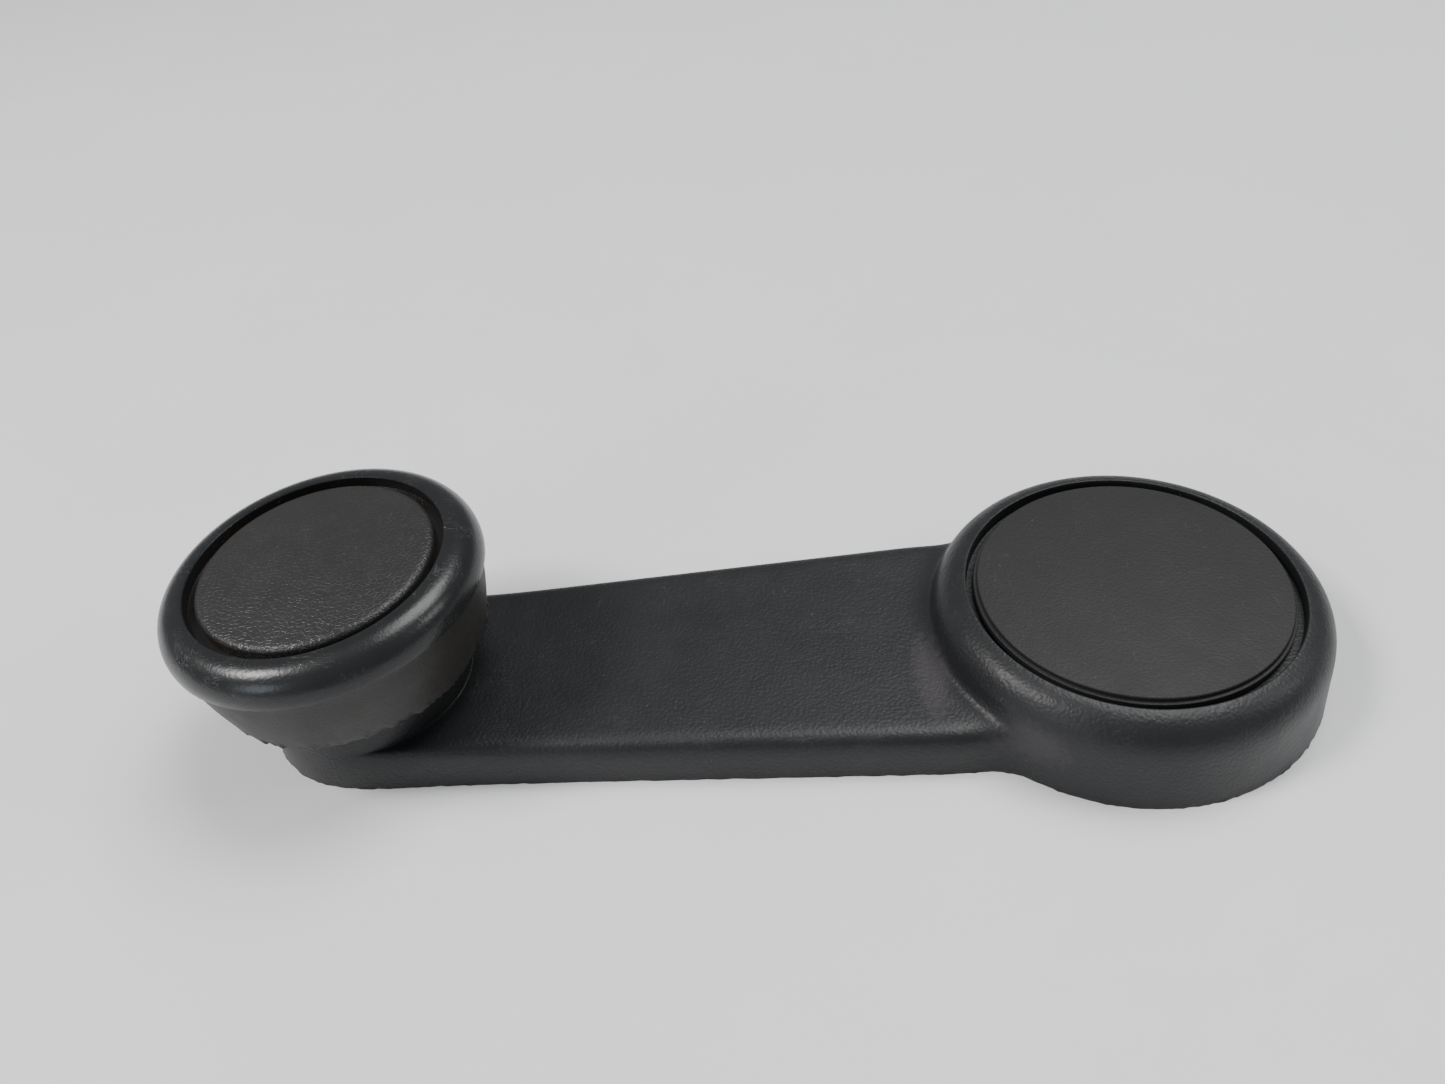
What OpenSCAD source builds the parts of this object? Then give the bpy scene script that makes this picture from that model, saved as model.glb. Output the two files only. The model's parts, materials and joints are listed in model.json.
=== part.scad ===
// Window crank: a round hub, a tapered arm and a knob that turns freely on its pin.
// The origin is on the spindle axis at the hub's back face. +Z points out of the door
// trim, and the arm runs towards -X. Lengths are in millimetres.

/* [Hub] */
// Radius of the hub at its back face
hub_back_r = 26.5; // [26.2:0.1:27.5]
// Radius of the hub where its rim starts to round over
hub_rim_r = 25.7; // [25.2:0.1:26]
// Radius of the rim's rounding
rim_round_r = 5; // [4.4:0.1:5.2]
// Height of the cap's face above the back face
hub_h = 13.2; // [13:0.1:14]
// Radius of the cap's face
hub_cap_r = 20; // [18.5:0.1:20.2]
// Width of the groove around the cap
hub_groove_w = 1.4; // [0.8:0.1:1.6]
// Depth of the groove around the cap, and thickness of the cap
hub_groove_d = 2; // [1.6:0.1:2.4]
// Number of ribs that brace the hub from behind
hub_rib_count = 8; // [4:2:12]

/* [Arm] */
// Distance from the spindle axis to the pin, at the face of the knob pad
arm_len = 104.2; // [96:0.2:112]
// Width of the arm where it leaves the hub
arm_w_hub = 39.2; // [36:0.2:40]
// Width of the arm beside the pin
arm_w_knob = 29; // [27:0.2:29.2]
// Height of the arm's top face
arm_top_z = 6.6; // [6.4:0.1:7]
// Height of the arm's lower edge
arm_bottom_z = 0.3; // [0.2:0.1:1]
// Radius of the arm's long top edges
arm_edge_r = 4.2; // [3:0.1:4.6]
// Wall thickness of the moulding
wall_t = 2.2; // [1.8:0.1:2.4]
// Number of cross ribs under the arm
arm_rib_count = 5; // [3:1:7]

/* [Knob] */
// Outward lean of the knob, in degrees
knob_tilt = 3; // [0:0.5:5]
// Height of the pad's face where the pin leaves it
pad_z = 12.2; // [11.5:0.1:13.5]
// Radius of the pad
pad_r = 14.4; // [14.4:0.1:15.4]
// Radius of the knob's lower edge
skirt_r = 18.2; // [17.6:0.1:19]
// Radius of the skirt where it meets the rim
skirt_top_r = 20.4; // [20:0.1:20.6]
// Radius of the knob's rim
knob_rim_r = 21; // [20.8:0.1:21.5]
// Height of the knob's face above the pad
knob_h = 16.1; // [16:0.1:16.6]
// Radius of the grained cap in the knob
knob_cap_r = 15.4; // [14.8:0.1:15.6]
// Width of the groove around the knob's cap
knob_groove_w = 1.3; // [0.8:0.1:1.4]
// Rise of the cap's dome
knob_crown = 0.8; // [0.5:0.1:1.2]
// Number of ribs inside the skirt
knob_rib_count = 6; // [3:1:8]

/* [Fixings] */
// Radius of the knob pin
pin_r = 4; // [3.8:0.05:4.2]
// Radial running clearance of the knob on its pin
pin_play = 0.06; // [0.03:0.01:0.09]
// Radius of the plain mouth of the spindle socket
pilot_r = 4.7; // [4.65:0.05:5]
// Outer radius of the socket's serrations
spline_r = 4.6; // [4.4:0.05:4.6]
// Number of serrations
spline_teeth = 20; // [16:1:24]
// Radius of the retaining screw's shank
screw_r = 2.5; // [2:0.1:2.6]

/* [Hidden] */
$fn = 96;

eps = 0.1;                     // overshoot of a cut past a face
far = 60;                      // longer than anything that it cuts

// Hub, from the back face up
rim_z = hub_h - 0.1 - rim_round_r;   // height of the rounding's centre
rim_c = hub_rim_r - rim_round_r;
recess_r = hub_cap_r + hub_groove_w;
cap_seat_z = hub_h - hub_groove_d;
well_r = 14.6;                 // well for the screw and for the cap's spigot
well_z = 8.6;
skirt_wall_r = hub_back_r - 2.6;
hub_roof_z = cap_seat_z - wall_t;
hub_boss_r = 10.4;
boss_roof_z = well_z - 2;

// Arm
neck_r = 9;                    // hollow fillet between the arm's side and the hub
cove_r = 3.6;                  // hollow fillet between the arm's top and the hub
meet_angle = 20;               // angle at which both fillets run into the hub
draft = 0.03;                  // inward lean of the sides per unit of height
neck_y = arm_w_hub / 2 + neck_r;
neck_root_d = hub_rim_r + 0.1;
neck_reach = centre_gap(neck_root_d, neck_r);
neck_x = sqrt(neck_reach * neck_reach - neck_y * neck_y);
cove_reach = centre_gap(rim_round_r, cove_r);
cove_start = rim_c + sqrt(pow(cove_reach, 2) - pow(arm_top_z + cove_r - rim_z, 2));
cove_end = rim_c + (cove_start - rim_c)
    * (1 + (pow(rim_round_r, 2) - pow(cove_r, 2)) / pow(cove_reach, 2)) / 2;
arm_roof_z = arm_top_z - wall_t;
rib_t = 1.4;
edge_steps = 6;                // facets of the arm's skin: around each long edge,
flat_steps = 6;                // on each half of the top face,
straight_steps = 4;            // along the straight part
cove_steps = 12;               // and through the cove

// Steel core: flat in the arm, then bent by the knob's lean to stay square to the pin
core_t = 2;
core_w = 15;
core_mid_z = arm_roof_z - core_t / 2;
core_bend_x = arm_len - pad_r - 1;
core_depth = cos(knob_tilt)
    * (pad_z - core_mid_z + (arm_len - core_bend_x) * tan(knob_tilt));
flange_r = 9.6;
hex_r = 8.3;                   // corner radius of the bush's hexagonal body
bush_top_z = 8.2;
pilot_depth = 3.2;
spline_end_z = 6.8;
spline_root_r = spline_r - 0.5;

// Screw stack on the bush
washer_t = 0.7;
spring_t = 0.6;
head_t = 1.5;
head_r = 4.6;
screw_tip_z = 3.6;
screw_gap = 0.25;

// Knob, from the pad up
pad_floor_z = pad_z - 2.6;
pad_boss_r = 6.4;
shank_r = 3.2;
rivet_r = 5.2;
rivet_t = 1.1;
thrust_t = 0.8;
skirt_z = 0.9;
split_z = 11.6;                // height of the line between skirt and rim
bush_r = 5.6;
bush_flange_r = 7.4;
bush_flange_t = 0.8;
sleeve_r = 7.6;
sleeve_top_z = 10.9;
knob_web_z = 7;
knob_web_t = 1.6;
knob_wall_t = 2;
rim_roll_r = knob_rim_r - 17.1;
knob_recess_r = knob_cap_r + knob_groove_w;
knob_seat_z = knob_h - 1.9;
knob_seat_t = 1.8;
knob_well_r = 10.4;
clip_z = 12.1;
clip_t = 0.7;
clip_root_r = pin_r - 0.9;
pin_top_z = 13.1;
skirt_bulge = 0.25;

function mix(a, b, t) = a + (b - a) * t;

// Distance between the centres of two arcs that meet at the meeting angle
function centre_gap(r1, r2) = sqrt(r1 * r1 + r2 * r2 + 2 * r1 * r2 * cos(meet_angle));

// ---- Shapes shared by several parts ----

module ring(outer_r, inner_r, z, h) {
    translate([0, 0, z])
        difference() {
            cylinder(r = outer_r, h = h);
            translate([0, 0, -eps])
                cylinder(r = inner_r, h = h + 2 * eps);
        }
}

// A cone-shaped spring washer, thin section, resting on its outer edge
module cone_washer(outer_r, inner_r, z, h) {
    t = h / 2;
    translate([0, 0, z])
        rotate_extrude()
            polygon([[inner_r, h - t], [inner_r, h], [outer_r, t], [outer_r, 0]]);
}

// Puts its children on the leaning pin, with z = 0 at the face of the pad
module on_pin() {
    translate([-arm_len, 0, pad_z])
        rotate([0, -knob_tilt, 0])
            children();
}

// Upright web along +X, drawn as [distance from the axis, height] points
module radial_web(points, t) {
    rotate([90, 0, 0])
        linear_extrude(height = t, center = true)
            polygon(points);
}

// ---- Arm moulding ----

// Half-width of the arm at x
function side_y(x) = mix(arm_w_knob, arm_w_hub, (x + arm_len) / (arm_len - neck_x)) / 2;

// Where the side of the arm, with its neck fillet, lies at a distance d from the spindle
function side_point(d) = d >= norm([neck_x, neck_y - neck_r]) ? straight_side(d)
    : d >= neck_root_d ? neck_side(d)
    : neck_side(neck_root_d) * d / neck_root_d;
function straight_side(d) =
    let (slope = (arm_w_hub - arm_w_knob) / 2 / (arm_len - neck_x),
         y0 = side_y(0),
         k = 1 + slope * slope,
         x = (-slope * y0 - sqrt(k * d * d - y0 * y0)) / k)
    [x, side_y(x)];
function neck_side(d) =
    let (along = (pow(neck_reach, 2) + d * d - neck_r * neck_r) / (2 * neck_reach),
         across = sqrt(d * d - along * along),
         u = [-neck_x, neck_y] / neck_reach)
    [u[0] * along - u[1] * across, u[1] * along + u[0] * across];

// Rise of the cove at a distance d from the spindle axis; it stops rising inside the rim
function cove(d) = d >= cove_start ? 0
    : cove_r - sqrt(cove_r * cove_r - pow(cove_start - max(d, cove_end), 2));

// One side of the arm's cross-section from the lower edge to the flat, as [inset, height]
edge_z = arm_top_z - arm_edge_r;
edge_inset = draft * (edge_z - arm_bottom_z);
half_section = concat(
    [[0, arm_bottom_z], [edge_inset / 2, (arm_bottom_z + edge_z) / 2]],
    [for (i = [0:edge_steps]) let (a = 90 * i / edge_steps)
        [edge_inset + arm_edge_r * (1 - cos(a)), edge_z + arm_edge_r * sin(a)]]
);

// Whole cross-section for a half-width w, as [y, height], from the one side to the other
function whole_section(w) =
    let (flat_w = w - edge_inset - arm_edge_r)
    concat(
        [for (p = half_section) [p[0] - w, p[1]]],
        [for (i = [1:2 * flat_steps - 1]) [mix(-flat_w, flat_w, i / flat_steps / 2), arm_top_z]],
        [for (i = [len(half_section) - 1:-1:0]) [w - half_section[i][0], half_section[i][1]]]
    );

// Flat section across the arm at x
function straight_section(x) = [for (p = whole_section(side_y(x))) [x, p[0], p[1]]];

// Section bent to a distance d from the spindle, lifted by the cove towards its top
function bent_section(d) =
    let (rise = cove(d) / (arm_top_z - arm_bottom_z))
    [for (p = whole_section(side_point(d)[1]))
        [-sqrt(d * d - p[0] * p[0]), p[0], p[1] + rise * (p[1] - arm_bottom_z)]];

// Plain flat section that ends the skin inside the hub
root_section = [for (p = whole_section(0.6 * hub_rim_r)) [-hub_rim_r / 2, p[0], p[1]]];

arm_sections = concat(
    [for (i = [0:straight_steps])
        straight_section(mix(-arm_len, -cove_start - 2, i / straight_steps))],
    [for (i = [0:cove_steps]) bent_section(mix(cove_start + 0.8, cove_end, i / cove_steps))],
    [root_section]
);

// Mean of a list of points
function middle(points) = [for (p = points) 1] * points / len(points);

// Skin over a row of sections that all have the same number of points, closed at each end
// by a fan of triangles about the section's middle
module loft(sections) {
    rows = len(sections);
    n = len(sections[0]);
    points = concat([for (s = sections) each s],
                    [middle(sections[0]), middle(sections[rows - 1])]);
    sides = [for (r = [0:rows - 2], i = [0:n - 1])
        let (a = r * n + i, b = r * n + (i + 1) % n)
        each [[a, b, a + n], [b, b + n, a + n]]];
    last = (rows - 1) * n;
    ends = [for (i = [0:n - 1])
        let (j = (i + 1) % n)
        each [[j, i, rows * n], [last + i, last + j, rows * n + 1]]];
    polyhedron(points = points, faces = concat(sides, ends), convexity = 6);
}

module hub_body() {
    rotate_extrude() {
        polygon([[0, 0], [hub_back_r, 0], [hub_rim_r, rim_z],
                 [rim_c, rim_z + rim_round_r], [0, rim_z + rim_round_r]]);
        translate([rim_c, rim_z])
            circle(r = rim_round_r);
    }
}

// The cap's recess with its screw well above, and the ring-shaped pocket below
module hub_hollows() {
    translate([0, 0, cap_seat_z])
        cylinder(r = recess_r, h = far);
    translate([0, 0, well_z])
        cylinder(r = well_r, h = far);
    rotate_extrude()
        polygon([[hub_boss_r, -eps], [skirt_wall_r, -eps], [skirt_wall_r - 0.6, hub_roof_z],
                 [well_r + wall_t, hub_roof_z], [well_r + wall_t, boss_roof_z],
                 [hub_boss_r, boss_roof_z]]);
    translate([0, 0, -eps])
        cylinder(r = hub_boss_r + eps, h = core_mid_z + eps);
}

module hub_ribs() {
    low = 1.4;
    lap = 0.4;
    step_r = well_r + wall_t - lap;
    for (i = [0:hub_rib_count - 1])
        rotate([0, 0, (i + 0.5) * 360 / hub_rib_count])
            radial_web([[hub_boss_r - lap, low + 2], [step_r, low], [skirt_wall_r + lap, low],
                        [skirt_wall_r - 0.2, hub_roof_z + lap], [step_r, hub_roof_z + lap],
                        [step_r, boss_roof_z + lap], [hub_boss_r - lap, boss_roof_z + lap]],
                       rib_t);
}

channel_x1 = -hub_back_r - 0.8;
channel_x2 = -arm_len + pad_r + 0.6;

// Open channel under the arm, as wide as the arm less its walls
module arm_channel() {
    y1 = side_y(channel_x1) - wall_t;
    y2 = side_y(channel_x2) - wall_t;
    translate([0, 0, -eps])
        linear_extrude(height = arm_roof_z + eps)
            polygon([[channel_x1, -y1], [channel_x1, y1], [channel_x2, y2], [channel_x2, -y2]]);
}

// Cross ribs and the two long ribs that hold the steel core in place
module arm_ribs() {
    low = 1.4;
    lap = 0.4;
    pitch = (channel_x1 - channel_x2) / (arm_rib_count + 1);
    rib_h = arm_roof_z + lap - low;
    for (i = [1:arm_rib_count]) {
        x = channel_x1 - i * pitch;
        half = side_y(x) - wall_t + lap;
        translate([x - rib_t / 2, -half, low])
            cube([rib_t, 2 * half, rib_h]);
    }
    for (side = [-1, 1])
        translate([channel_x2 - lap, side * (core_w / 2 + rib_t / 2) - rib_t / 2, low])
            cube([channel_x1 - channel_x2 + 2 * lap, rib_t, rib_h]);
}

// Round end of the arm, cut off square to the pin
module pad_body() {
    difference() {
        translate([-arm_len, 0, 0])
            cylinder(r1 = pad_r + 0.2, r2 = pad_r, h = pad_z + 2);
        on_pin()
            translate([-far / 2, -far / 2, 0])
                cube([far, far, far]);
    }
}

module pad_pocket() {
    translate([-arm_len, 0, -eps])
        cylinder(r = pad_r - wall_t, h = pad_floor_z + eps);
}

module pad_ribs() {
    lap = 0.4;
    translate([-arm_len, 0, 0])
        for (a = [30:60:330])
            rotate([0, 0, a])
                radial_web([[pad_boss_r - 1, core_mid_z + 1], [pad_r - wall_t + lap, core_mid_z + 1],
                            [pad_r - wall_t + lap, pad_floor_z + lap],
                            [pad_boss_r - 1, pad_floor_z + lap]], rib_t);
    translate([-arm_len, 0, core_mid_z])
        cylinder(r = pad_boss_r, h = pad_floor_z + lap - core_mid_z);
}

module arm_moulding() {
    color("#3a3d43")
        difference() {
            union() {
                difference() {
                    union() {
                        hub_body();
                        loft(arm_sections);
                        pad_body();
                    }
                    hub_hollows();
                    arm_channel();
                    pad_pocket();
                }
                hub_ribs();
                arm_ribs();
                pad_ribs();
            }
            core_form();
            cylinder(r = hex_r, h = far, $fn = 6);
            on_pin()
                translate([0, 0, -far / 2])
                    cylinder(r = shank_r, h = far);
        }
}

// ---- Steel core and the spindle socket ----

// The bent strap without its holes
module core_form() {
    half = core_t / 2;
    shift = half * tan(knob_tilt / 2);
    end_x = arm_len + core_w / 2 + 1;
    fall = (end_x - core_bend_x) * tan(knob_tilt);
    intersection() {
        rotate([90, 0, 0])
            linear_extrude(height = far, center = true)
                polygon([[hub_boss_r + 1, core_mid_z - half], [hub_boss_r + 1, core_mid_z + half],
                         [-core_bend_x + shift, core_mid_z + half],
                         [-end_x, core_mid_z + half / cos(knob_tilt) - fall],
                         [-end_x, core_mid_z - half / cos(knob_tilt) - fall],
                         [-core_bend_x - shift, core_mid_z - half]]);
        translate([0, 0, -eps])
            linear_extrude(height = far) {
                circle(r = hub_boss_r);
                translate([-arm_len, -core_w / 2])
                    square([arm_len, core_w]);
                translate([-arm_len, 0])
                    circle(r = core_w / 2);
            }
    }
}

module arm_core() {
    color("#8d9094")
        difference() {
            core_form();
            cylinder(r = hex_r, h = far, $fn = 6);
            on_pin()
                translate([0, 0, -far / 2])
                    cylinder(r = shank_r, h = far);
        }
}

// Flanged bush: plain mouth, serrated socket, then a web that the screw clamps
module spline_bush() {
    tooth = 360 / spline_teeth;
    flange_t = core_mid_z - core_t / 2;
    color("#9a9da2")
        difference() {
            union() {
                cylinder(r = flange_r, h = flange_t);
                cylinder(r = hex_r, h = bush_top_z, $fn = 6);
            }
            translate([0, 0, -eps])
                cylinder(r = pilot_r, h = pilot_depth + eps);
            translate([0, 0, pilot_depth - eps]) {
                cylinder(r = spline_root_r, h = spline_end_z - pilot_depth + eps);
                linear_extrude(height = spline_end_z - pilot_depth + eps)
                    for (i = [0:spline_teeth - 1])
                        rotate(i * tooth)
                            polygon([[spline_root_r - 0.6, -1], [spline_r, 0],
                                     [spline_root_r - 0.6, 1]]);
            }
            cylinder(r = screw_r + screw_gap, h = far);
        }
}

module plain_washer() {
    color("#a9acb0")
        ring(6.6, screw_r + screw_gap, bush_top_z, washer_t);
}

module spring_washer() {
    color("#8f9296")
        cone_washer(5, screw_r + screw_gap, bush_top_z + washer_t, spring_t);
}

// Pan-head screw with a cross recess
module retaining_screw() {
    seat_z = bush_top_z + washer_t + spring_t;
    cross_l = 4.8;
    cross_w = 1;
    color("#b5b8bc")
        difference() {
            union() {
                translate([0, 0, seat_z])
                    cylinder(r1 = head_r, r2 = head_r - 0.7, h = head_t);
                translate([0, 0, screw_tip_z + 0.6])
                    cylinder(r = screw_r, h = seat_z + eps - screw_tip_z - 0.6);
                translate([0, 0, screw_tip_z])
                    cylinder(r1 = screw_r - 0.6, r2 = screw_r, h = 0.6);
            }
            for (a = [0, 90])
                rotate([0, 0, a])
                    translate([-cross_l / 2, -cross_w / 2, seat_z + 0.4])
                        cube([cross_l, cross_w, head_t]);
        }
}

// Flat disc with a stepped edge, on a slotted spigot that pushes into the screw well
module hub_cap() {
    step = 0.4;
    spigot_r = well_r - 0.25;
    spigot_t = 1.4;
    spigot_z = well_z + 0.3;
    slot_w = 2;
    color("#4a4a4b")
        difference() {
            union() {
                rotate_extrude()
                    polygon([[0, cap_seat_z], [hub_cap_r + step, cap_seat_z],
                             [hub_cap_r + step, hub_h - 0.8], [hub_cap_r, hub_h - 0.7],
                             [hub_cap_r, hub_h - 0.2], [hub_cap_r - 0.2, hub_h], [0, hub_h]]);
                ring(spigot_r, spigot_r - spigot_t, spigot_z, cap_seat_z + eps - spigot_z);
            }
            for (a = [0, 90])
                rotate([0, 0, a])
                    translate([-far / 2, -slot_w / 2, spigot_z - eps])
                        cube([far, slot_w, cap_seat_z - spigot_z]);
        }
}

// ---- Knob ----

// Shouldered axle: a riveted shank in the arm, then the journal with a clip groove
module knob_pin() {
    foot_z = -core_depth - core_t / 2;
    tip = 0.5;
    color("#b0b3b7")
        on_pin()
            rotate_extrude()
                polygon([[0, foot_z - rivet_t], [rivet_r - 1, foot_z - rivet_t],
                         [rivet_r, foot_z - rivet_t / 2], [rivet_r, foot_z],
                         [shank_r, foot_z], [shank_r, 0], [pin_r, 0],
                         [pin_r, clip_z], [clip_root_r, clip_z],
                         [clip_root_r, clip_z + clip_t], [pin_r, clip_z + clip_t],
                         [pin_r, pin_top_z - tip], [pin_r - tip, pin_top_z], [0, pin_top_z]]);
}

module knob_thrust_washer() {
    color("#d9d6cc")
        on_pin()
            ring(8.6, pin_r + 0.1, 0, thrust_t);
}

// Plain bearing sleeve with a thrust flange, pressed in the knob
module knob_bush() {
    bore_r = pin_r + pin_play;
    color("#cfcabd")
        on_pin()
            rotate_extrude()
                polygon([[bore_r, skirt_z], [bush_flange_r, skirt_z],
                         [bush_flange_r, skirt_z + bush_flange_t],
                         [bush_r, skirt_z + bush_flange_t],
                         [bush_r, sleeve_top_z], [bore_r, sleeve_top_z]]);
}

skirt_steps = 8;
function skirt_edge(t) = [mix(skirt_r, skirt_top_r, t) + skirt_bulge * sin(180 * t),
                          mix(skirt_z, split_z, t)];

// Lower shell of the knob: a bulged cone, a web and a bearing sleeve with ribs
module knob_skirt() {
    sleeve_z = skirt_z + bush_flange_t;
    lap = 0.4;
    color("#4b4946")
        on_pin() {
            rotate_extrude() {
                polygon(concat(
                    [for (i = [0:skirt_steps]) skirt_edge(i / skirt_steps)],
                    [for (i = [skirt_steps:-1:0])
                        skirt_edge(i / skirt_steps) - [knob_wall_t, 0]]));
                translate([bush_r, knob_web_z])
                    square([skirt_edge(knob_web_z / split_z)[0] - bush_r - 0.5, knob_web_t]);
                translate([bush_r, sleeve_z])
                    square([sleeve_r - bush_r, sleeve_top_z - sleeve_z]);
            }
            for (i = [0:knob_rib_count - 1])
                rotate([0, 0, i * 360 / knob_rib_count])
                    radial_web([[sleeve_r - lap, sleeve_z + 1], [skirt_r - knob_wall_t + lap, 3],
                                [skirt_r - knob_wall_t + lap, knob_web_z + lap],
                                [sleeve_r - lap, knob_web_z + lap]], rib_t);
        }
}

// Upper shell: a rolled rim around the cap's recess, with a ring that snaps in the skirt
module knob_rim() {
    snap_r = skirt_edge(0.75)[0] - knob_wall_t - 0.15;
    snap_t = 1.6;
    snap_z = knob_web_z + knob_web_t + 0.6;
    web_z = knob_seat_z - knob_seat_t;
    color("#3b3f47")
        on_pin()
            rotate_extrude()
                difference() {
                    union() {
                        intersection() {
                            translate([knob_rim_r - rim_roll_r, knob_h - rim_roll_r])
                                circle(r = rim_roll_r);
                            translate([knob_well_r, split_z])
                                square([far, far]);
                        }
                        translate([knob_well_r, web_z])
                            square([knob_rim_r - rim_roll_r - knob_well_r, knob_seat_t]);
                        translate([snap_r - snap_t, snap_z])
                            square([snap_t, web_z + eps - snap_z]);
                    }
                    translate([0, knob_seat_z])
                        square([knob_recess_r, far]);
                }
}

module knob_spring_washer() {
    color("#8f9296")
        on_pin()
            cone_washer(7, pin_r + 0.15, sleeve_top_z + 0.1, clip_z - 0.6 - sleeve_top_z - 0.1);
}

module knob_flat_washer() {
    color("#a9acb0")
        on_pin()
            ring(7.4, pin_r + 0.1, clip_z - 0.6, 0.6);
}

// E-clip: three inner lugs reach the groove, and the open side faces the hub
module knob_retainer() {
    outer_r = 6.8;
    relief_r = pin_r + 0.9;
    lug_w = 2.4;
    color("#7d8084")
        on_pin()
            translate([0, 0, clip_z])
                linear_extrude(height = clip_t)
                    difference() {
                        circle(r = outer_r);
                        difference() {
                            circle(r = relief_r);
                            for (a = [90, 180, 270])
                                rotate(a)
                                    translate([clip_root_r - 0.5, -lug_w / 2])
                                        square([relief_r, lug_w]);
                        }
                        circle(r = clip_root_r);
                        translate([0, -clip_root_r])
                            square([far, 2 * clip_root_r]);
                    }
}

// Grained insert: shallow dome on a spigot ring that pushes into the rim's well
module knob_cap() {
    dome_r = (knob_cap_r * knob_cap_r + knob_crown * knob_crown) / (2 * knob_crown);
    edge_z = knob_h - 0.2;
    spigot_t = 1.3;
    color("#44464a")
        on_pin()
            rotate_extrude()
                union() {
                    intersection() {
                        translate([0, edge_z + knob_crown - dome_r])
                            circle(r = dome_r, $fn = 720);
                        translate([0, knob_seat_z])
                            square([knob_cap_r, knob_h]);
                    }
                    translate([knob_well_r - 0.2 - spigot_t, knob_seat_z - 1.9])
                        square([spigot_t, 2]);
                }
}

arm_moulding();
arm_core();
spline_bush();
plain_washer();
spring_washer();
retaining_screw();
hub_cap();
knob_pin();
knob_thrust_washer();
knob_bush();
knob_skirt();
knob_rim();
knob_spring_washer();
knob_flat_washer();
knob_retainer();
knob_cap();
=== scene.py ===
"""Looks of a window crank: hub, arm and free-turning knob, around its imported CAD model.

The pieces are modelled in millimetres in the CAD model's own frame and brought to metres as
the last step. The origin is on the spindle axis at the hub's back face, +Z points out of the
door trim and the arm runs towards -X.
"""

import json
import logging
import math
from contextlib import contextmanager
from dataclasses import dataclass
from enum import Enum
from typing import Callable, Iterator, Optional, Sequence, Union

import bmesh
import bpy
from mathutils import Matrix, Quaternion, Vector


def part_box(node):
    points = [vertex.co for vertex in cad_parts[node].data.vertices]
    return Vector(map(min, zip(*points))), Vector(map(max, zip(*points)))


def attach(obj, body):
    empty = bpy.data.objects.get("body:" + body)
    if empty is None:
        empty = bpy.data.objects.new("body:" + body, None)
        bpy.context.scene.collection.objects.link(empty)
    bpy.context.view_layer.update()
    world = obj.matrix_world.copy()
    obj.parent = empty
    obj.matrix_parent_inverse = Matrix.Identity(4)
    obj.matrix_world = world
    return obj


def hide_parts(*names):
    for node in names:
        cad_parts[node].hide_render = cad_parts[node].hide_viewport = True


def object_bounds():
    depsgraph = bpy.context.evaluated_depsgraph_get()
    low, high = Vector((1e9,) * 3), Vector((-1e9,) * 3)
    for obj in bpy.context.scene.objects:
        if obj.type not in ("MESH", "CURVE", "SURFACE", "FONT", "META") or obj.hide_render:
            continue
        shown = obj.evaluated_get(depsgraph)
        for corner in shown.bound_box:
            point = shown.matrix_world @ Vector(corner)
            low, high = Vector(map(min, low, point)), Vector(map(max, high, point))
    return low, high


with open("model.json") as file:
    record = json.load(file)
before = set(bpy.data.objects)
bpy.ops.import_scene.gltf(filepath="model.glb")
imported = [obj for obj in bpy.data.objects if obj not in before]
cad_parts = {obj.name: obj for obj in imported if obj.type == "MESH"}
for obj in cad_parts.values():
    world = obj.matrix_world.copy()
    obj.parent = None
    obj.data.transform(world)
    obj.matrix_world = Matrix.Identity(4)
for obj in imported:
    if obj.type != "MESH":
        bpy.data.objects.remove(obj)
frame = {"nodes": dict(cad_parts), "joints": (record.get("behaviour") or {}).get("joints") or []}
CAD_BOX = [list(corner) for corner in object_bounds()]

MM = 0.001
ORIGIN = Vector((0.0, 0.0, 0.0))
FULL_TURN = 2 * math.pi

Colour = tuple[float, float, float, float]
Point = tuple[float, float, float]
Outline = list[tuple[float, float]]  # points as radius and height
Test = Callable[[Vector], bool]  # whether a place is wanted

log = logging.getLogger("window_crank")


class Body(str, Enum):
    """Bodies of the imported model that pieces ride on."""

    CRANK = "crank"
    KNOB = "knob"
    HUB_COVER = "hub_cover"


class Slot(str, Enum):
    """Material slots of the remodelled pieces."""

    ARM = "arm_plastic"
    HUB_CAP = "hub_cap_plastic"
    SKIRT = "skirt_plastic"
    RIM = "rim_plastic"
    KNOB_CAP = "knob_cap_plastic"
    TURNED = "turned_steel"


def millimetre_box(node: str) -> tuple[Vector, Vector]:
    """Give a CAD node's lowest and highest corners in millimetres."""
    low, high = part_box(node)
    return low / MM, high / MM


def knob_placement() -> Matrix:
    """Work out where the knob stands from its joint.

    Returns:
        The matrix, in millimetres, that puts a piece modelled about +Z on the leaning pin,
        with its z = 0 at the face of the arm's pad.
    """
    joint = next(joint for joint in frame["joints"] if joint["name"] == "knob_spin")
    lean = Vector((0.0, 0.0, 1.0)).rotation_difference(Vector(joint["axis"]))
    return Matrix.Translation(Vector(joint["pos_m"]) / MM) @ lean.to_matrix().to_4x4()


KNOB_PLACE = knob_placement()


# ---- Shader expressions ----


@dataclass
class Wire:
    """A node's output socket and the shader that it belongs to."""

    shader: "Shader"
    socket: bpy.types.NodeSocket


Number = Union["Signal", float]
Tint = Union[Colour, Wire]


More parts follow.
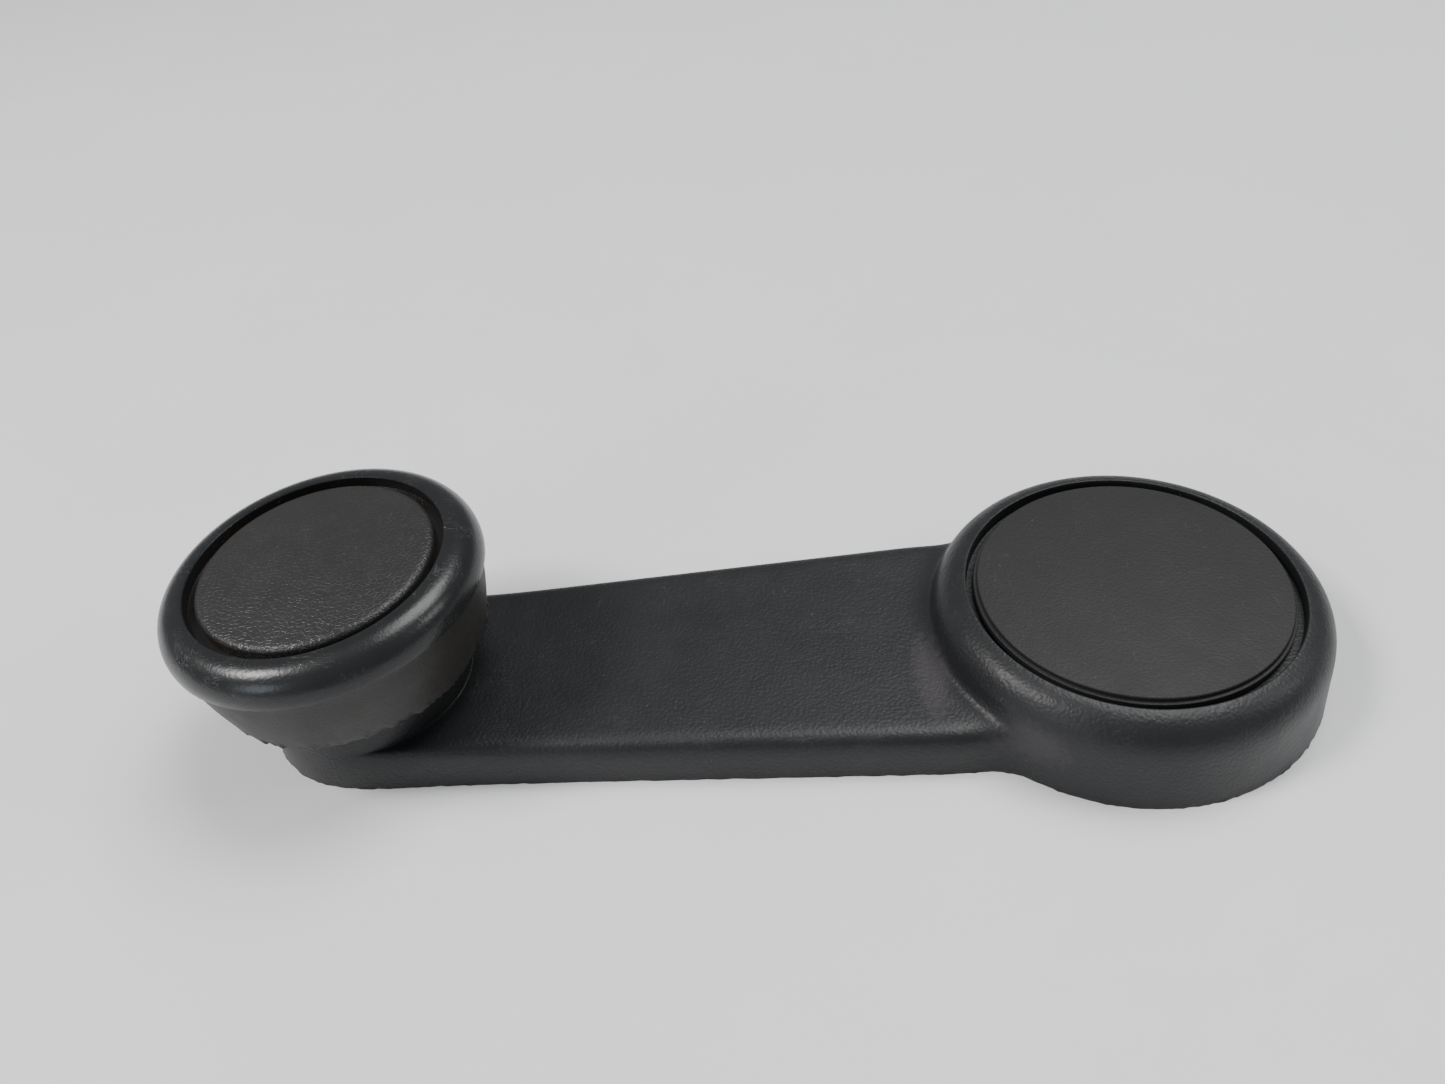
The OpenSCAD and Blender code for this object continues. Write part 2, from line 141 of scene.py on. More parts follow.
class Signal(Wire):
    """A number that varies over a surface; operators on it add Math nodes."""

    def _math(self, operation: str, *terms: Number, clamp: bool = False) -> "Signal":
        """Add one Math node.

        Args:
            operation: Blender's name for the operation.
            terms: Its operands in order.
            clamp: Whether the result is held between 0 and 1.

        Returns:
            The node's result.
        """
        settings = {"operation": operation, "use_clamp": clamp}
        return self.shader.signal("ShaderNodeMath", settings, dict(enumerate(terms)))

    def __add__(self, other: Number) -> "Signal":
        """Add two numbers."""
        return self._math("ADD", self, other)

    __radd__ = __add__

    def __sub__(self, other: Number) -> "Signal":
        """Subtract a number from this one."""
        return self._math("SUBTRACT", self, other)

    def __rsub__(self, other: Number) -> "Signal":
        """Subtract this number from another."""
        return self._math("SUBTRACT", other, self)

    def __mul__(self, other: Number) -> "Signal":
        """Multiply two numbers."""
        return self._math("MULTIPLY", self, other)

    __rmul__ = __mul__

    def __abs__(self) -> "Signal":
        """Drop the sign."""
        return self._math("ABSOLUTE", self)

    def clamped(self) -> "Signal":
        """Hold the number between 0 and 1."""
        return self._math("ADD", self, 0.0, clamp=True)

    def ramp(self, low: float, high: float) -> "Signal":
        """Rise smoothly from 0 to 1.

        Args:
            low: Value at which the result is 0.
            high: Value at which it is 1; it may be less than low.

        Returns:
            The smoothed result.
        """
        settings = {"interpolation_type": "SMOOTHSTEP", "clamp": True}
        inputs = {"Value": self, "From Min": low, "From Max": high}
        return self.shader.signal("ShaderNodeMapRange", settings, inputs)

    def near(self, centre: float, reach: float) -> "Signal":
        """Give 1 at a value and fade to 0 at a distance from it."""
        return abs(self - centre).ramp(reach, 0.0)


class Place(Wire):
    """A position on a surface; its methods add Vector Math and texture nodes."""

    def _vector(self, operation: str, point: Point, output: str) -> bpy.types.NodeSocket:
        """Add one Vector Math node and give its output of that name."""
        sockets = {0: self, 1: point}
        return self.shader.node("ShaderNodeVectorMath", {"operation": operation},
                                sockets).outputs[output]

    def axis(self, index: int) -> Signal:
        """Give one coordinate."""
        return self.shader.signal("ShaderNodeSeparateXYZ", {}, {0: self}, index)

    def stretched(self, x: float, y: float, z: float) -> "Place":
        """Scale each coordinate by its own factor."""
        return Place(self.shader, self._vector("MULTIPLY", (x, y, z), "Vector"))

    def distance(self, point: Point) -> Signal:
        """Give the distance to a point."""
        return Signal(self.shader, self._vector("DISTANCE", point, "Value"))

    def radius(self) -> Signal:
        """Give the distance from the Z axis."""
        return self.stretched(1.0, 1.0, 0.0).distance((0.0, 0.0, 0.0))

    def turned(self, place: Matrix) -> "Place":
        """Give the position in the frame of a piece that stands elsewhere.

        Args:
            place: The matrix that puts that piece in the model, in millimetres.

        Returns:
            The position seen from the piece's own frame.
        """
        inputs = {"Vector": self, "Location": tuple(place.translation),
                  "Rotation": tuple(place.to_euler())}
        node = self.shader.node("ShaderNodeMapping", {"vector_type": "TEXTURE"}, inputs)
        return Place(self.shader, node.outputs["Vector"])

    def noise(self, size: float, detail: float = 2.0, rough: float = 0.5) -> Signal:
        """Give soft random noise.

        Args:
            size: Width of its blotches in millimetres.
            detail: Number of finer layers.
            rough: Strength of each finer layer.

        Returns:
            The noise, between 0 and 1.
        """
        inputs = {"Vector": self, "Scale": 1.0 / size, "Detail": detail, "Roughness": rough}
        return self.shader.signal("ShaderNodeTexNoise", {}, inputs)

    def cells(self, size: float, feature: str) -> Signal:
        """Give the distance pattern of random cells.

        Args:
            size: Width of a cell in millimetres.
            feature: Blender's name for the measured distance.

        Returns:
            The distance, in parts of a cell.
        """
        inputs = {"Vector": self, "Scale": 1.0 / size}
        return self.shader.signal("ShaderNodeTexVoronoi", {"feature": feature}, inputs)


class Shader:
    """The node tree of one material."""

    def __init__(self, name: str) -> None:
        """Start a material with its position in millimetres.

        Args:
            name: Name of the material.
        """
        self.material = bpy.data.materials.new(name)
        self.material.use_nodes = True
        self.tree = self.material.node_tree
        self.tree.nodes.clear()
        coordinates = self.node("ShaderNodeTexCoord", {}, {})
        metres = Place(self, coordinates.outputs["Object"])
        self.place = metres.stretched(1 / MM, 1 / MM, 1 / MM)

    def node(self, kind: str, settings: dict, inputs: dict) -> bpy.types.Node:
        """Add a node.

        Args:
            kind: Blender's type name of the node.
            settings: The node's own properties, set before its sockets.
            inputs: Values or wires of its sockets, by name or place.

        Returns:
            The node.
        """
        node = self.tree.nodes.new(kind)
        for key, value in settings.items():
            setattr(node, key, value)
        for key, value in inputs.items():
            if isinstance(value, Wire):
                self.tree.links.new(value.socket, node.inputs[key])
            else:
                node.inputs[key].default_value = value
        return node

    def signal(self, kind: str, settings: dict, inputs: dict, output: int = 0) -> Signal:
        """Add a node and give one of its outputs as a number."""
        return Signal(self, self.node(kind, settings, inputs).outputs[output])

    def mix(self, share: Number, first: Tint, second: Tint) -> Wire:
        """Blend two colours by the share of the second."""
        inputs = {"Factor": share, 6: first, 7: second}
        return Wire(self, self.node("ShaderNodeMix", {"data_type": "RGBA"}, inputs).outputs[2])

    def bump(self, height: Signal, depth: float) -> Wire:
        """Turn a height from 0 to 1 into the normal of grain that many millimetres deep."""
        inputs = {"Strength": 1.0, "Distance": depth * MM, "Height": height}
        return Wire(self, self.node("ShaderNodeBump", {}, inputs).outputs[0])

    def surface(self, inputs: dict) -> bpy.types.Material:
        """Close the tree with a principled surface.

        Args:
            inputs: Values or wires of the surface's sockets.

        Returns:
            The finished material.
        """
        shading = Wire(self, self.node("ShaderNodeBsdfPrincipled", {}, inputs).outputs[0])
        self.node("ShaderNodeOutputMaterial", {}, {"Surface": shading})
        return self.material


# ---- Finishes ----


def grey(level: float, warmth: float = 0.0) -> Colour:
    """Mix a grey of a linear brightness; warmth adds red and takes blue, in parts of it."""
    return (level * (1 + warmth), level, level * (1 - warmth), 1.0)


PALE_DUST = grey(0.30, 0.05)
GROOVE_DUST = (0.022, 0.013, 0.008, 1.0)
SCRATCHED = grey(0.25, -0.02)
SCUFFED = (0.060, 0.050, 0.058, 1.0)


@dataclass(frozen=True)
class Scuff:
    """A rubbed patch of a moulding; its lengths are in millimetres."""

    centre: Point
    stretch: Point  # how much longer than its reach it is along each axis
    reach: float
    strength: float

    def mask(self, spot: Place) -> Signal:
        """Build the patch's mask with its broken edge.

        Args:
            spot: Position on the piece.

        Returns:
            The mask, from 0 to 1.
        """
        inverse = tuple(1 / factor for factor in self.stretch)
        centre = tuple(c * f for c, f in zip(self.centre, inverse))
        away = spot.stretched(*inverse).distance(centre) * (1 / self.reach)
        broken = spot.noise(1.1, 4.0, 0.65)
        return (away + (broken - 0.5) * 1.1).ramp(1.0, 0.35)


@dataclass(frozen=True)
class MouldedPlastic:
    """Dark moulded plastic with an etched grain; its lengths are in millimetres."""

    name: str
    colour: Colour
    variation: float  # brightness change of its faint clouds, in parts of the colour
    roughness: float
    grain_size: float
    grain_depth: float
    gloss_spread: float = 0.08
    scratches: float = 0.3
    dust: float = 0.5
    sheen: float = 0.35  # strength of its reflections, 0.5 for a plain polymer
    edge_colour: Colour = SCUFFED
    edge_height: float = 0.0  # height below which the trimmed lower edge shows
    scuffs: tuple[Scuff, ...] = ()
    leather: float = 0.0  # width of a leather cell, or 0 for a plain grain
    streaks: float = 0.0  # strength of level tool marks around the piece
    groove_radius: float = 0.0  # middle of a groove that gathers dust, or 0 for none
    groove_top: float = 0.0
    place: Matrix = Matrix.Identity(4)

    def material(self) -> bpy.types.Material:
        """Build the material.

        Returns:
            The finished material.
        """
        shader = Shader(self.name)
        spot = shader.place.turned(self.place)
        clouds = spot.noise(9.0, 4.0, 0.6)
        tint = shader.mix((clouds - 0.5) * 2.2 + 0.5, self._shade(1 - self.variation),
                          self._shade(1 + self.variation))
        dusting = spot.noise(0.35, 1.0).ramp(0.70, 0.78) * spot.noise(7.0).ramp(0.45, 0.7)
        tint = shader.mix(dusting * (0.35 * self.dust), tint, PALE_DUST)
        hair = self._hairlines(spot)
        tint = shader.mix(hair * (0.25 * self.scratches), tint, SCRATCHED)
        worn: Number = 0.0
        for scuff in self.scuffs:
            patch = scuff.mask(spot) * scuff.strength
            tint = shader.mix(patch, tint, SCUFFED)
            worn = worn + patch * 0.12
        if self.groove_radius > 0:
            tint = shader.mix(self._groove_dust(spot), tint, GROOVE_DUST)
        if self.edge_height > 0:
            fade, ragged = 0.45, 0.9
            band = spot.axis(2) + spot.noise(1.6, 3.0) * ragged
            tint = shader.mix(band.ramp(self.edge_height + fade, self.edge_height),
                              tint, self.edge_colour)
        height = self._grain(spot) - hair * (0.5 * self.scratches)
        if self.streaks > 0:
            marks = spot.stretched(0.05, 0.05, 2.4).noise(1.0, 3.0, 0.6)
            tint = shader.mix(marks.ramp(0.45, 0.75) * self.streaks, tint, self._shade(1.7))
            height = height + marks * self.streaks
        gloss = self.roughness + (spot.noise(4.0, 3.0) - 0.5) * (2 * self.gloss_spread)
        return shader.surface({
            "Base Color": tint,
            "Roughness": (gloss + worn + dusting * (0.2 * self.dust)).clamped(),
            "Specular IOR Level": self.sheen,
            "Normal": shader.bump(height, self.grain_depth),
        })

    def _shade(self, factor: float) -> Colour:
        """Scale the main colour's brightness."""
        red, green, blue, _ = self.colour
        return (red * factor, green * factor, blue * factor, 1.0)

    def _groove_dust(self, spot: Place) -> Signal:
        """Build the mask of the dust in the groove.

        Args:
            spot: Position on the piece.

        Returns:
            The mask, from 0 to 1.
        """
        ring = spot.radius().near(self.groove_radius, 1.5).ramp(0.0, 0.35)
        deep = spot.axis(2).ramp(self.groove_top, self.groove_top - 0.5)
        return ring * deep * spot.noise(2.6, 4.0, 0.75).ramp(0.46, 0.66)

    def _grain(self, spot: Place) -> Signal:
        """Build the height of the grain, or of leather over it.

        Args:
            spot: Position on the piece.

        Returns:
            The height, from 0 to 1.
        """
        pebbles = spot.cells(self.grain_size, "SMOOTH_F1").ramp(0.75, 0.1)
        fine = spot.noise(self.grain_size * 0.6, 3.0, 0.6)
        height = pebbles * 0.6 + fine * 0.4
        if self.leather > 0:
            warped = (spot.noise(self.leather * 1.6, 2.0) - 0.5) * 0.12
            hide = spot.stretched(1.0, 1.25, 1.0)
            creases = hide.cells(self.leather, "DISTANCE_TO_EDGE") + warped
            height = creases.ramp(0.0, 0.22) * 0.8 + height * 0.2
        return height

    @staticmethod
    def _hairlines(spot: Place) -> Signal:
        """Build the mask of thin scratches that run in two directions.

        Args:
            spot: Position on the piece.

        Returns:
            The mask, from 0 to 1.
        """
        along = spot.stretched(0.10, 1.0, 1.0).noise(0.5, 1.0).near(0.5, 0.012)
        across = spot.stretched(1.0, 0.12, 1.0).noise(0.6, 1.0).near(0.5, 0.010)
        sparse = spot.noise(5.0, 2.0).ramp(0.56, 0.66)
        other = spot.noise(6.5, 2.0).ramp(0.44, 0.34)
        return (along * sparse + across * other).clamped()


@dataclass(frozen=True)
class Metal:
    """Plated, turned or pressed steel."""

    name: str
    colour: Colour
    roughness: float
    tarnish: float = 0.4  # strength of the darker stains
    lines: float = 0.004  # depth of its fine working marks in millimetres

    def material(self) -> bpy.types.Material:
        """Build the material.

        Returns:
            The finished material.
        """
        shader = Shader(self.name)
        spot = shader.place
        stains = spot.noise(2.4, 5.0, 0.65).ramp(0.45, 0.7) * self.tarnish
        marks = spot.stretched(0.3, 1.0, 4.0).noise(0.25, 2.0)
        dull = tuple(0.55 * channel for channel in self.colour[:3]) + (1.0,)
        return shader.surface({
            "Base Color": shader.mix(stains, self.colour, dull),
            "Metallic": 1.0,
            "Roughness": (self.roughness + stains * 0.25 + (marks - 0.5) * 0.1).clamped(),
            "Normal": shader.bump(marks, self.lines),
        })


@dataclass(frozen=True)
class Nylon:
    """Natural bearing nylon."""

    name: str
    colour: Colour
    aged: Colour

    def material(self) -> bpy.types.Material:
        """Build the material.

        Returns:
            The finished material.
        """
        shader = Shader(self.name)
        spot = shader.place
        clouds = spot.noise(3.0, 3.0)
        return shader.surface({
            "Base Color": shader.mix(clouds.ramp(0.35, 0.75), self.colour, self.aged),
            "Roughness": 0.34 + clouds * 0.16,
            "Subsurface Weight": 0.15,
            "Subsurface Radius": (0.002, 0.0015, 0.001),
            "Normal": shader.bump(spot.noise(0.5, 2.0), 0.006),
        })


Finish = Union[MouldedPlastic, Metal, Nylon]

ARM_FINISH = MouldedPlastic(
    name="etched_arm_plastic", colour=grey(0.015, -0.05), variation=0.14, roughness=0.42,
    grain_size=0.42, grain_depth=0.040, edge_colour=(0.030, 0.015, 0.012, 1.0),
    edge_height=0.45,
    scuffs=(Scuff((-27.5, -8.0, 8.0), (0.45, 1.5, 1.0), 6.5, 0.40),
            Scuff((-17.0, -20.0, 6.5), (1.3, 0.8, 0.6), 6.0, 0.32)),
)
HUB_CAP_FINISH = MouldedPlastic(
    name="matt_cap_plastic", colour=grey(0.019, 0.02), variation=0.08, roughness=0.55,
    grain_size=0.34, grain_depth=0.034, sheen=0.30,
)
SKIRT_FINISH = MouldedPlastic(
    name="brown_grey_skirt_plastic", colour=grey(0.017, 0.10), variation=0.15,
    roughness=0.50, grain_size=0.30, grain_depth=0.020, streaks=0.45, place=KNOB_PLACE,
)
RIM_FINISH = MouldedPlastic(
    name="handled_rim_plastic", colour=grey(0.014, -0.04), variation=0.12, roughness=0.27,
    grain_size=0.36, grain_depth=0.012, scratches=1.0, sheen=0.40, groove_radius=16.2,
    groove_top=15.9, place=KNOB_PLACE,
)
KNOB_CAP_FINISH = MouldedPlastic(
    name="leather_grained_plastic", colour=grey(0.020, 0.03), variation=0.10,
    roughness=0.40, grain_size=0.40, grain_depth=0.042, leather=0.75, sheen=0.45,
    groove_radius=15.6, groove_top=15.2, place=KNOB_PLACE,
)
NYLON = Nylon("bearing_nylon", (0.62, 0.59, 0.50, 1.0), (0.558, 0.4838, 0.31, 1.0))
TURNED_STEEL = Metal("turned_steel", (0.60, 0.59, 0.57, 1.0), 0.24)
ZINC_STEEL = Metal("zinc_plated_steel", (0.55, 0.56, 0.58, 1.0), 0.38, tarnish=0.6)
SPRING_STEEL = Metal("spring_steel", (0.30, 0.29, 0.28, 1.0), 0.30)


# ---- Modelling tools ----


class Workpiece:
    """One mesh that is shaped in millimetres with Blender's own modelling tools."""

    SMOOTH_ANGLE = math.radians(32)
    MERGE = 1e-4

    def __init__(self, name: str, model: Optional["Workpiece"] = None) -> None:
        """Start from a small plane, or from a copy of another piece and its mesh.

        Args:
            name: Name of the piece.
            model: The piece to copy, or nothing.
        """
        if model:
            model.activate()
            bpy.ops.object.duplicate()
        else:
            bpy.ops.object.select_all(action="DESELECT")
            bpy.ops.mesh.primitive_plane_add(size=1.0, location=ORIGIN)
        self.object = bpy.context.object
        self.object.name = name
        self.object.data.name = name

    @contextmanager
    def editing(self, mode: str = "VERT") -> Iterator[None]:
        """Work on the mesh in edit mode with nothing selected.

        Args:
            mode: What is selected, VERT, EDGE or FACE.

        Yields:
            Nothing.
        """
        self.activate()
        bpy.ops.object.mode_set(mode="EDIT")
        bpy.ops.mesh.select_mode(type=mode)
        bpy.ops.mesh.select_all(action="DESELECT")
        yield
        bpy.ops.object.mode_set(mode="OBJECT")

    def activate(self) -> None:
        """Make this the only selected object."""
        bpy.ops.object.select_all(action="DESELECT")
        self.object.select_set(True)
        bpy.context.view_layer.objects.active = self.object

    def pick(self, test: Test, mode: str = "VERT", open_only: bool = False) -> None:
        """Select what lies where the test says, and nothing else.

        Args:
            test: Whether the place, or the middle of the edge or face, is wanted.
            mode: What is selected, VERT, EDGE or FACE.
            open_only: Whether only edges with a single face are wanted.
        """
        bpy.ops.mesh.select_mode(type=mode)
        bpy.ops.mesh.select_all(action="DESELECT")
        mesh = bmesh.from_edit_mesh(self.object.data)
        if mode == "VERT":
            chosen = [v for v in mesh.verts if test(v.co)]
        elif mode == "EDGE":
            chosen = [e for e in mesh.edges if test((e.verts[0].co + e.verts[1].co) / 2)
                      and (len(e.link_faces) == 1 or not open_only)]
        else:
            chosen = [f for f in mesh.faces if test(f.calc_center_median())]
        for element in chosen:
            element.select_set(True)
        bmesh.update_edit_mesh(self.object.data)

    def tidy(self) -> None:
        """Merge doubles and turn every face outwards, in edit mode."""
        bpy.ops.mesh.select_all(action="SELECT")
        bpy.ops.mesh.remove_doubles(threshold=self.MERGE)
        bpy.ops.mesh.normals_make_consistent(inside=False)

    def modify(self, kind: str, **settings) -> None:
        """Add a modifier and apply it.

        Args:
            kind: Blender's name for the modifier.
            settings: The modifier's properties.
        """
        self.activate()
        modifier = self.object.modifiers.new(kind.title(), kind)
        for key, value in settings.items():
            setattr(modifier, key, value)
        bpy.ops.object.modifier_apply(modifier=modifier.name)

    def cut(self, tool: "Workpiece") -> None:
        """Cut another piece's shape away, and use that piece up."""
        self._boolean(tool, "DIFFERENCE")

    def weld(self, other: "Workpiece") -> None:
        """Fuse another piece with this one, and use that piece up."""
        self._boolean(other, "UNION")

    def _boolean(self, other: "Workpiece", operation: str) -> None:
        """Combine with another closed piece and delete it.

        Args:
            other: The other piece.
            operation: Blender's name for the operation.
        """
        self.modify("BOOLEAN", object=other.object, operation=operation, solver="EXACT")
        bpy.data.objects.remove(other.object)
        with self.editing():
            bpy.ops.mesh.select_all(action="SELECT")
            bpy.ops.mesh.dissolve_degenerate(threshold=self.MERGE)
            self.tidy()

    def roughen(self, where: Test, height: float, size: float) -> None:
        """Push an edge out unevenly, as trimmed moulding flash is.

        Args:
            where: Whether a point belongs to the edge.
            height: How far the flash stands out at most.
            size: Length of one nib along the edge.
        """
        group = self.object.vertex_groups.new(name="flash")
        group.add([v.index for v in self.object.data.vertices if where(v.co)], 1.0, "REPLACE")
        texture = bpy.data.textures.new(self.object.name + "_flash", "CLOUDS")
        texture.noise_scale = size
        texture.noise_depth = 3
        texture.contrast = 2.4
        self.modify("DISPLACE", texture=texture, vertex_group=group.name, strength=height,
                    mid_level=0.42, texture_coords="LOCAL")
        self.object.vertex_groups.clear()

    def place(self, matrix: Matrix) -> None:
        """Move the mesh itself.

        Args:
            matrix: The move, in millimetres.
        """
        self.activate()
        self.object.matrix_world = matrix
        bpy.ops.object.transform_apply(location=True, rotation=True, scale=True)

    def finished(self, body: Body, slot: Slot, finish: Finish, node: str) -> None:
        """Bring the piece to metres, shade it and give it to its body.

        Args:
            body: Body that it rides on.
            slot: Material slot that its finish belongs to; not used.
            finish: Its finish.
            node: CAD node that it stands for.
        """
        self.place(Matrix.Scale(MM, 4))
        bpy.ops.object.shade_smooth_by_angle(angle=self.SMOOTH_ANGLE)
        self.object.data.materials.clear()
        self.object.data.materials.append(finish.material())
        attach(self.object, body.value)
        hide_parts(node)
        triangles = sum(len(p.vertices) - 2 for p in self.object.data.polygons)
        log.info("%s rides on %s, %d triangles", self.object.name, body.value, triangles)


@dataclass(frozen=True)
class Corner:
    """A corner of a turned outline, and the radius of its rounding."""

    radius: float
    height: float
    fillet: float = 0.0


def rounded(corners: Sequence[Corner], closed: bool = True) -> Outline:
    """Round the corners of an outline.

    Args:
        corners: The corners in order.
        closed: Whether the last corner joins the first.

    Returns:
        The outline's points.
    """
    points: Outline = []
    count, step = len(corners), 15.0
    for index, corner in enumerate(corners):
        here = Vector((corner.radius, corner.height))
        if corner.fillet <= 0 or (not closed and index in (0, count - 1)):
            points.append(tuple(here))
            continue
        before, after = corners[index - 1], corners[(index + 1) % count]
        back = (Vector((before.radius, before.height)) - here).normalized()
        on = (Vector((after.radius, after.height)) - here).normalized()
        half = back.angle(on) / 2
        run = corner.fillet / math.tan(half)
        middle = here + (back + on).normalized() * (corner.fillet / math.sin(half))
        start = here + back * run - middle
        turn = math.pi - 2 * half
        if start.x * (here.y - middle.y) - start.y * (here.x - middle.x) < 0:
            turn = -turn
        pieces = max(2, round(abs(math.degrees(turn)) / step))
        for piece in range(pieces + 1):
            angle = turn * piece / pieces
            points.append((middle.x + start.x * math.cos(angle) - start.y * math.sin(angle),
                           middle.y + start.x * math.sin(angle) + start.y * math.cos(angle)))
    return points


def turned(name: str, outline: Outline, segments: int = 128, closed: bool = True) -> Workpiece:
    """Turn an outline about the Z axis.

    Args:
        name: Name of the piece.
        outline: Points as radius and height.
        segments: Number of steps in the turn.
        closed: Whether the last point joins the first.

    Returns:
        The turned piece.
    """
    piece = Workpiece(name)
    path = outline + outline[:1] if closed else outline
    with piece.editing():
        bpy.ops.mesh.select_all(action="SELECT")
        bpy.ops.mesh.merge(type="CENTER")
        bpy.ops.transform.translate(value=(path[0][0], 0.0, path[0][1]))
        for before, here in zip(path, path[1:]):
            step = (here[0] - before[0], 0.0, here[1] - before[1])
            bpy.ops.mesh.extrude_vertices_move(TRANSFORM_OT_translate={"value": step})
        bpy.ops.mesh.select_all(action="SELECT")
        bpy.ops.mesh.remove_doubles(threshold=Workpiece.MERGE)
        bpy.ops.mesh.spin(steps=segments, angle=FULL_TURN, center=ORIGIN, axis=(0, 0, 1))
        piece.tidy()
    return piece


def bar(name: str, radius: float, low: float, high: float, sides: int = 96) -> Workpiece:
    """Make a plain bar about the Z axis, its first corner towards +X."""
    outline = [(0.0, low), (radius, low), (radius, high), (0.0, high)]
    return turned(name, outline, sides, closed=False)


def block(name: str, low: Point, high: Point, bevel: float = 0.0) -> Workpiece:
    """Make a block with softened edges.

    Args:
        name: Name of the piece.
        low: Its lowest corner.
        high: Its highest corner.
        bevel: Radius of its edges.

    Returns:
        The block.
    """
    piece = Workpiece(name)
    with piece.editing():
        bpy.ops.mesh.select_all(action="SELECT")
        bpy.ops.mesh.extrude_region_move(TRANSFORM_OT_translate={"value": (0, 0, 1)})
        bpy.ops.mesh.select_all(action="SELECT")
        bpy.ops.transform.translate(value=(0, 0, -0.5))
        spans = [b - a for a, b in zip(low, high)]
        bpy.ops.transform.resize(value=spans, center_override=ORIGIN)
        bpy.ops.transform.translate(value=[(a + b) / 2 for a, b in zip(low, high)])
        if bevel > 0:
            bpy.ops.mesh.bevel(offset=bevel, segments=2, affect="EDGES")
        piece.tidy()
    return piece


def fanned(model: Workpiece, count: int, start: float = 0.0, sweep: float = FULL_TURN,
           place: Matrix = Matrix.Identity(4)) -> list[Workpiece]:
    """Copy a piece around the Z axis, and use the first one up.

    Args:
        model: The piece, lying towards +X.
        count: Number of copies.
        start: Turn of the first copy, in parts of their spacing.
        sweep: Angle that the copies share out.
        place: The matrix that brings the fan to its place.

    Returns:
        The copies, each with its own mesh.
    """
    copies = [Workpiece(f"{model.object.name}_{index}", model) for index in range(count)]
    for index, copy in enumerate(copies):
        copy.place(place @ Matrix.Rotation(sweep * (index + start) / count, 4, "Z"))
    bpy.data.objects.remove(model.object)
    return copies


# ---- Arm moulding ----


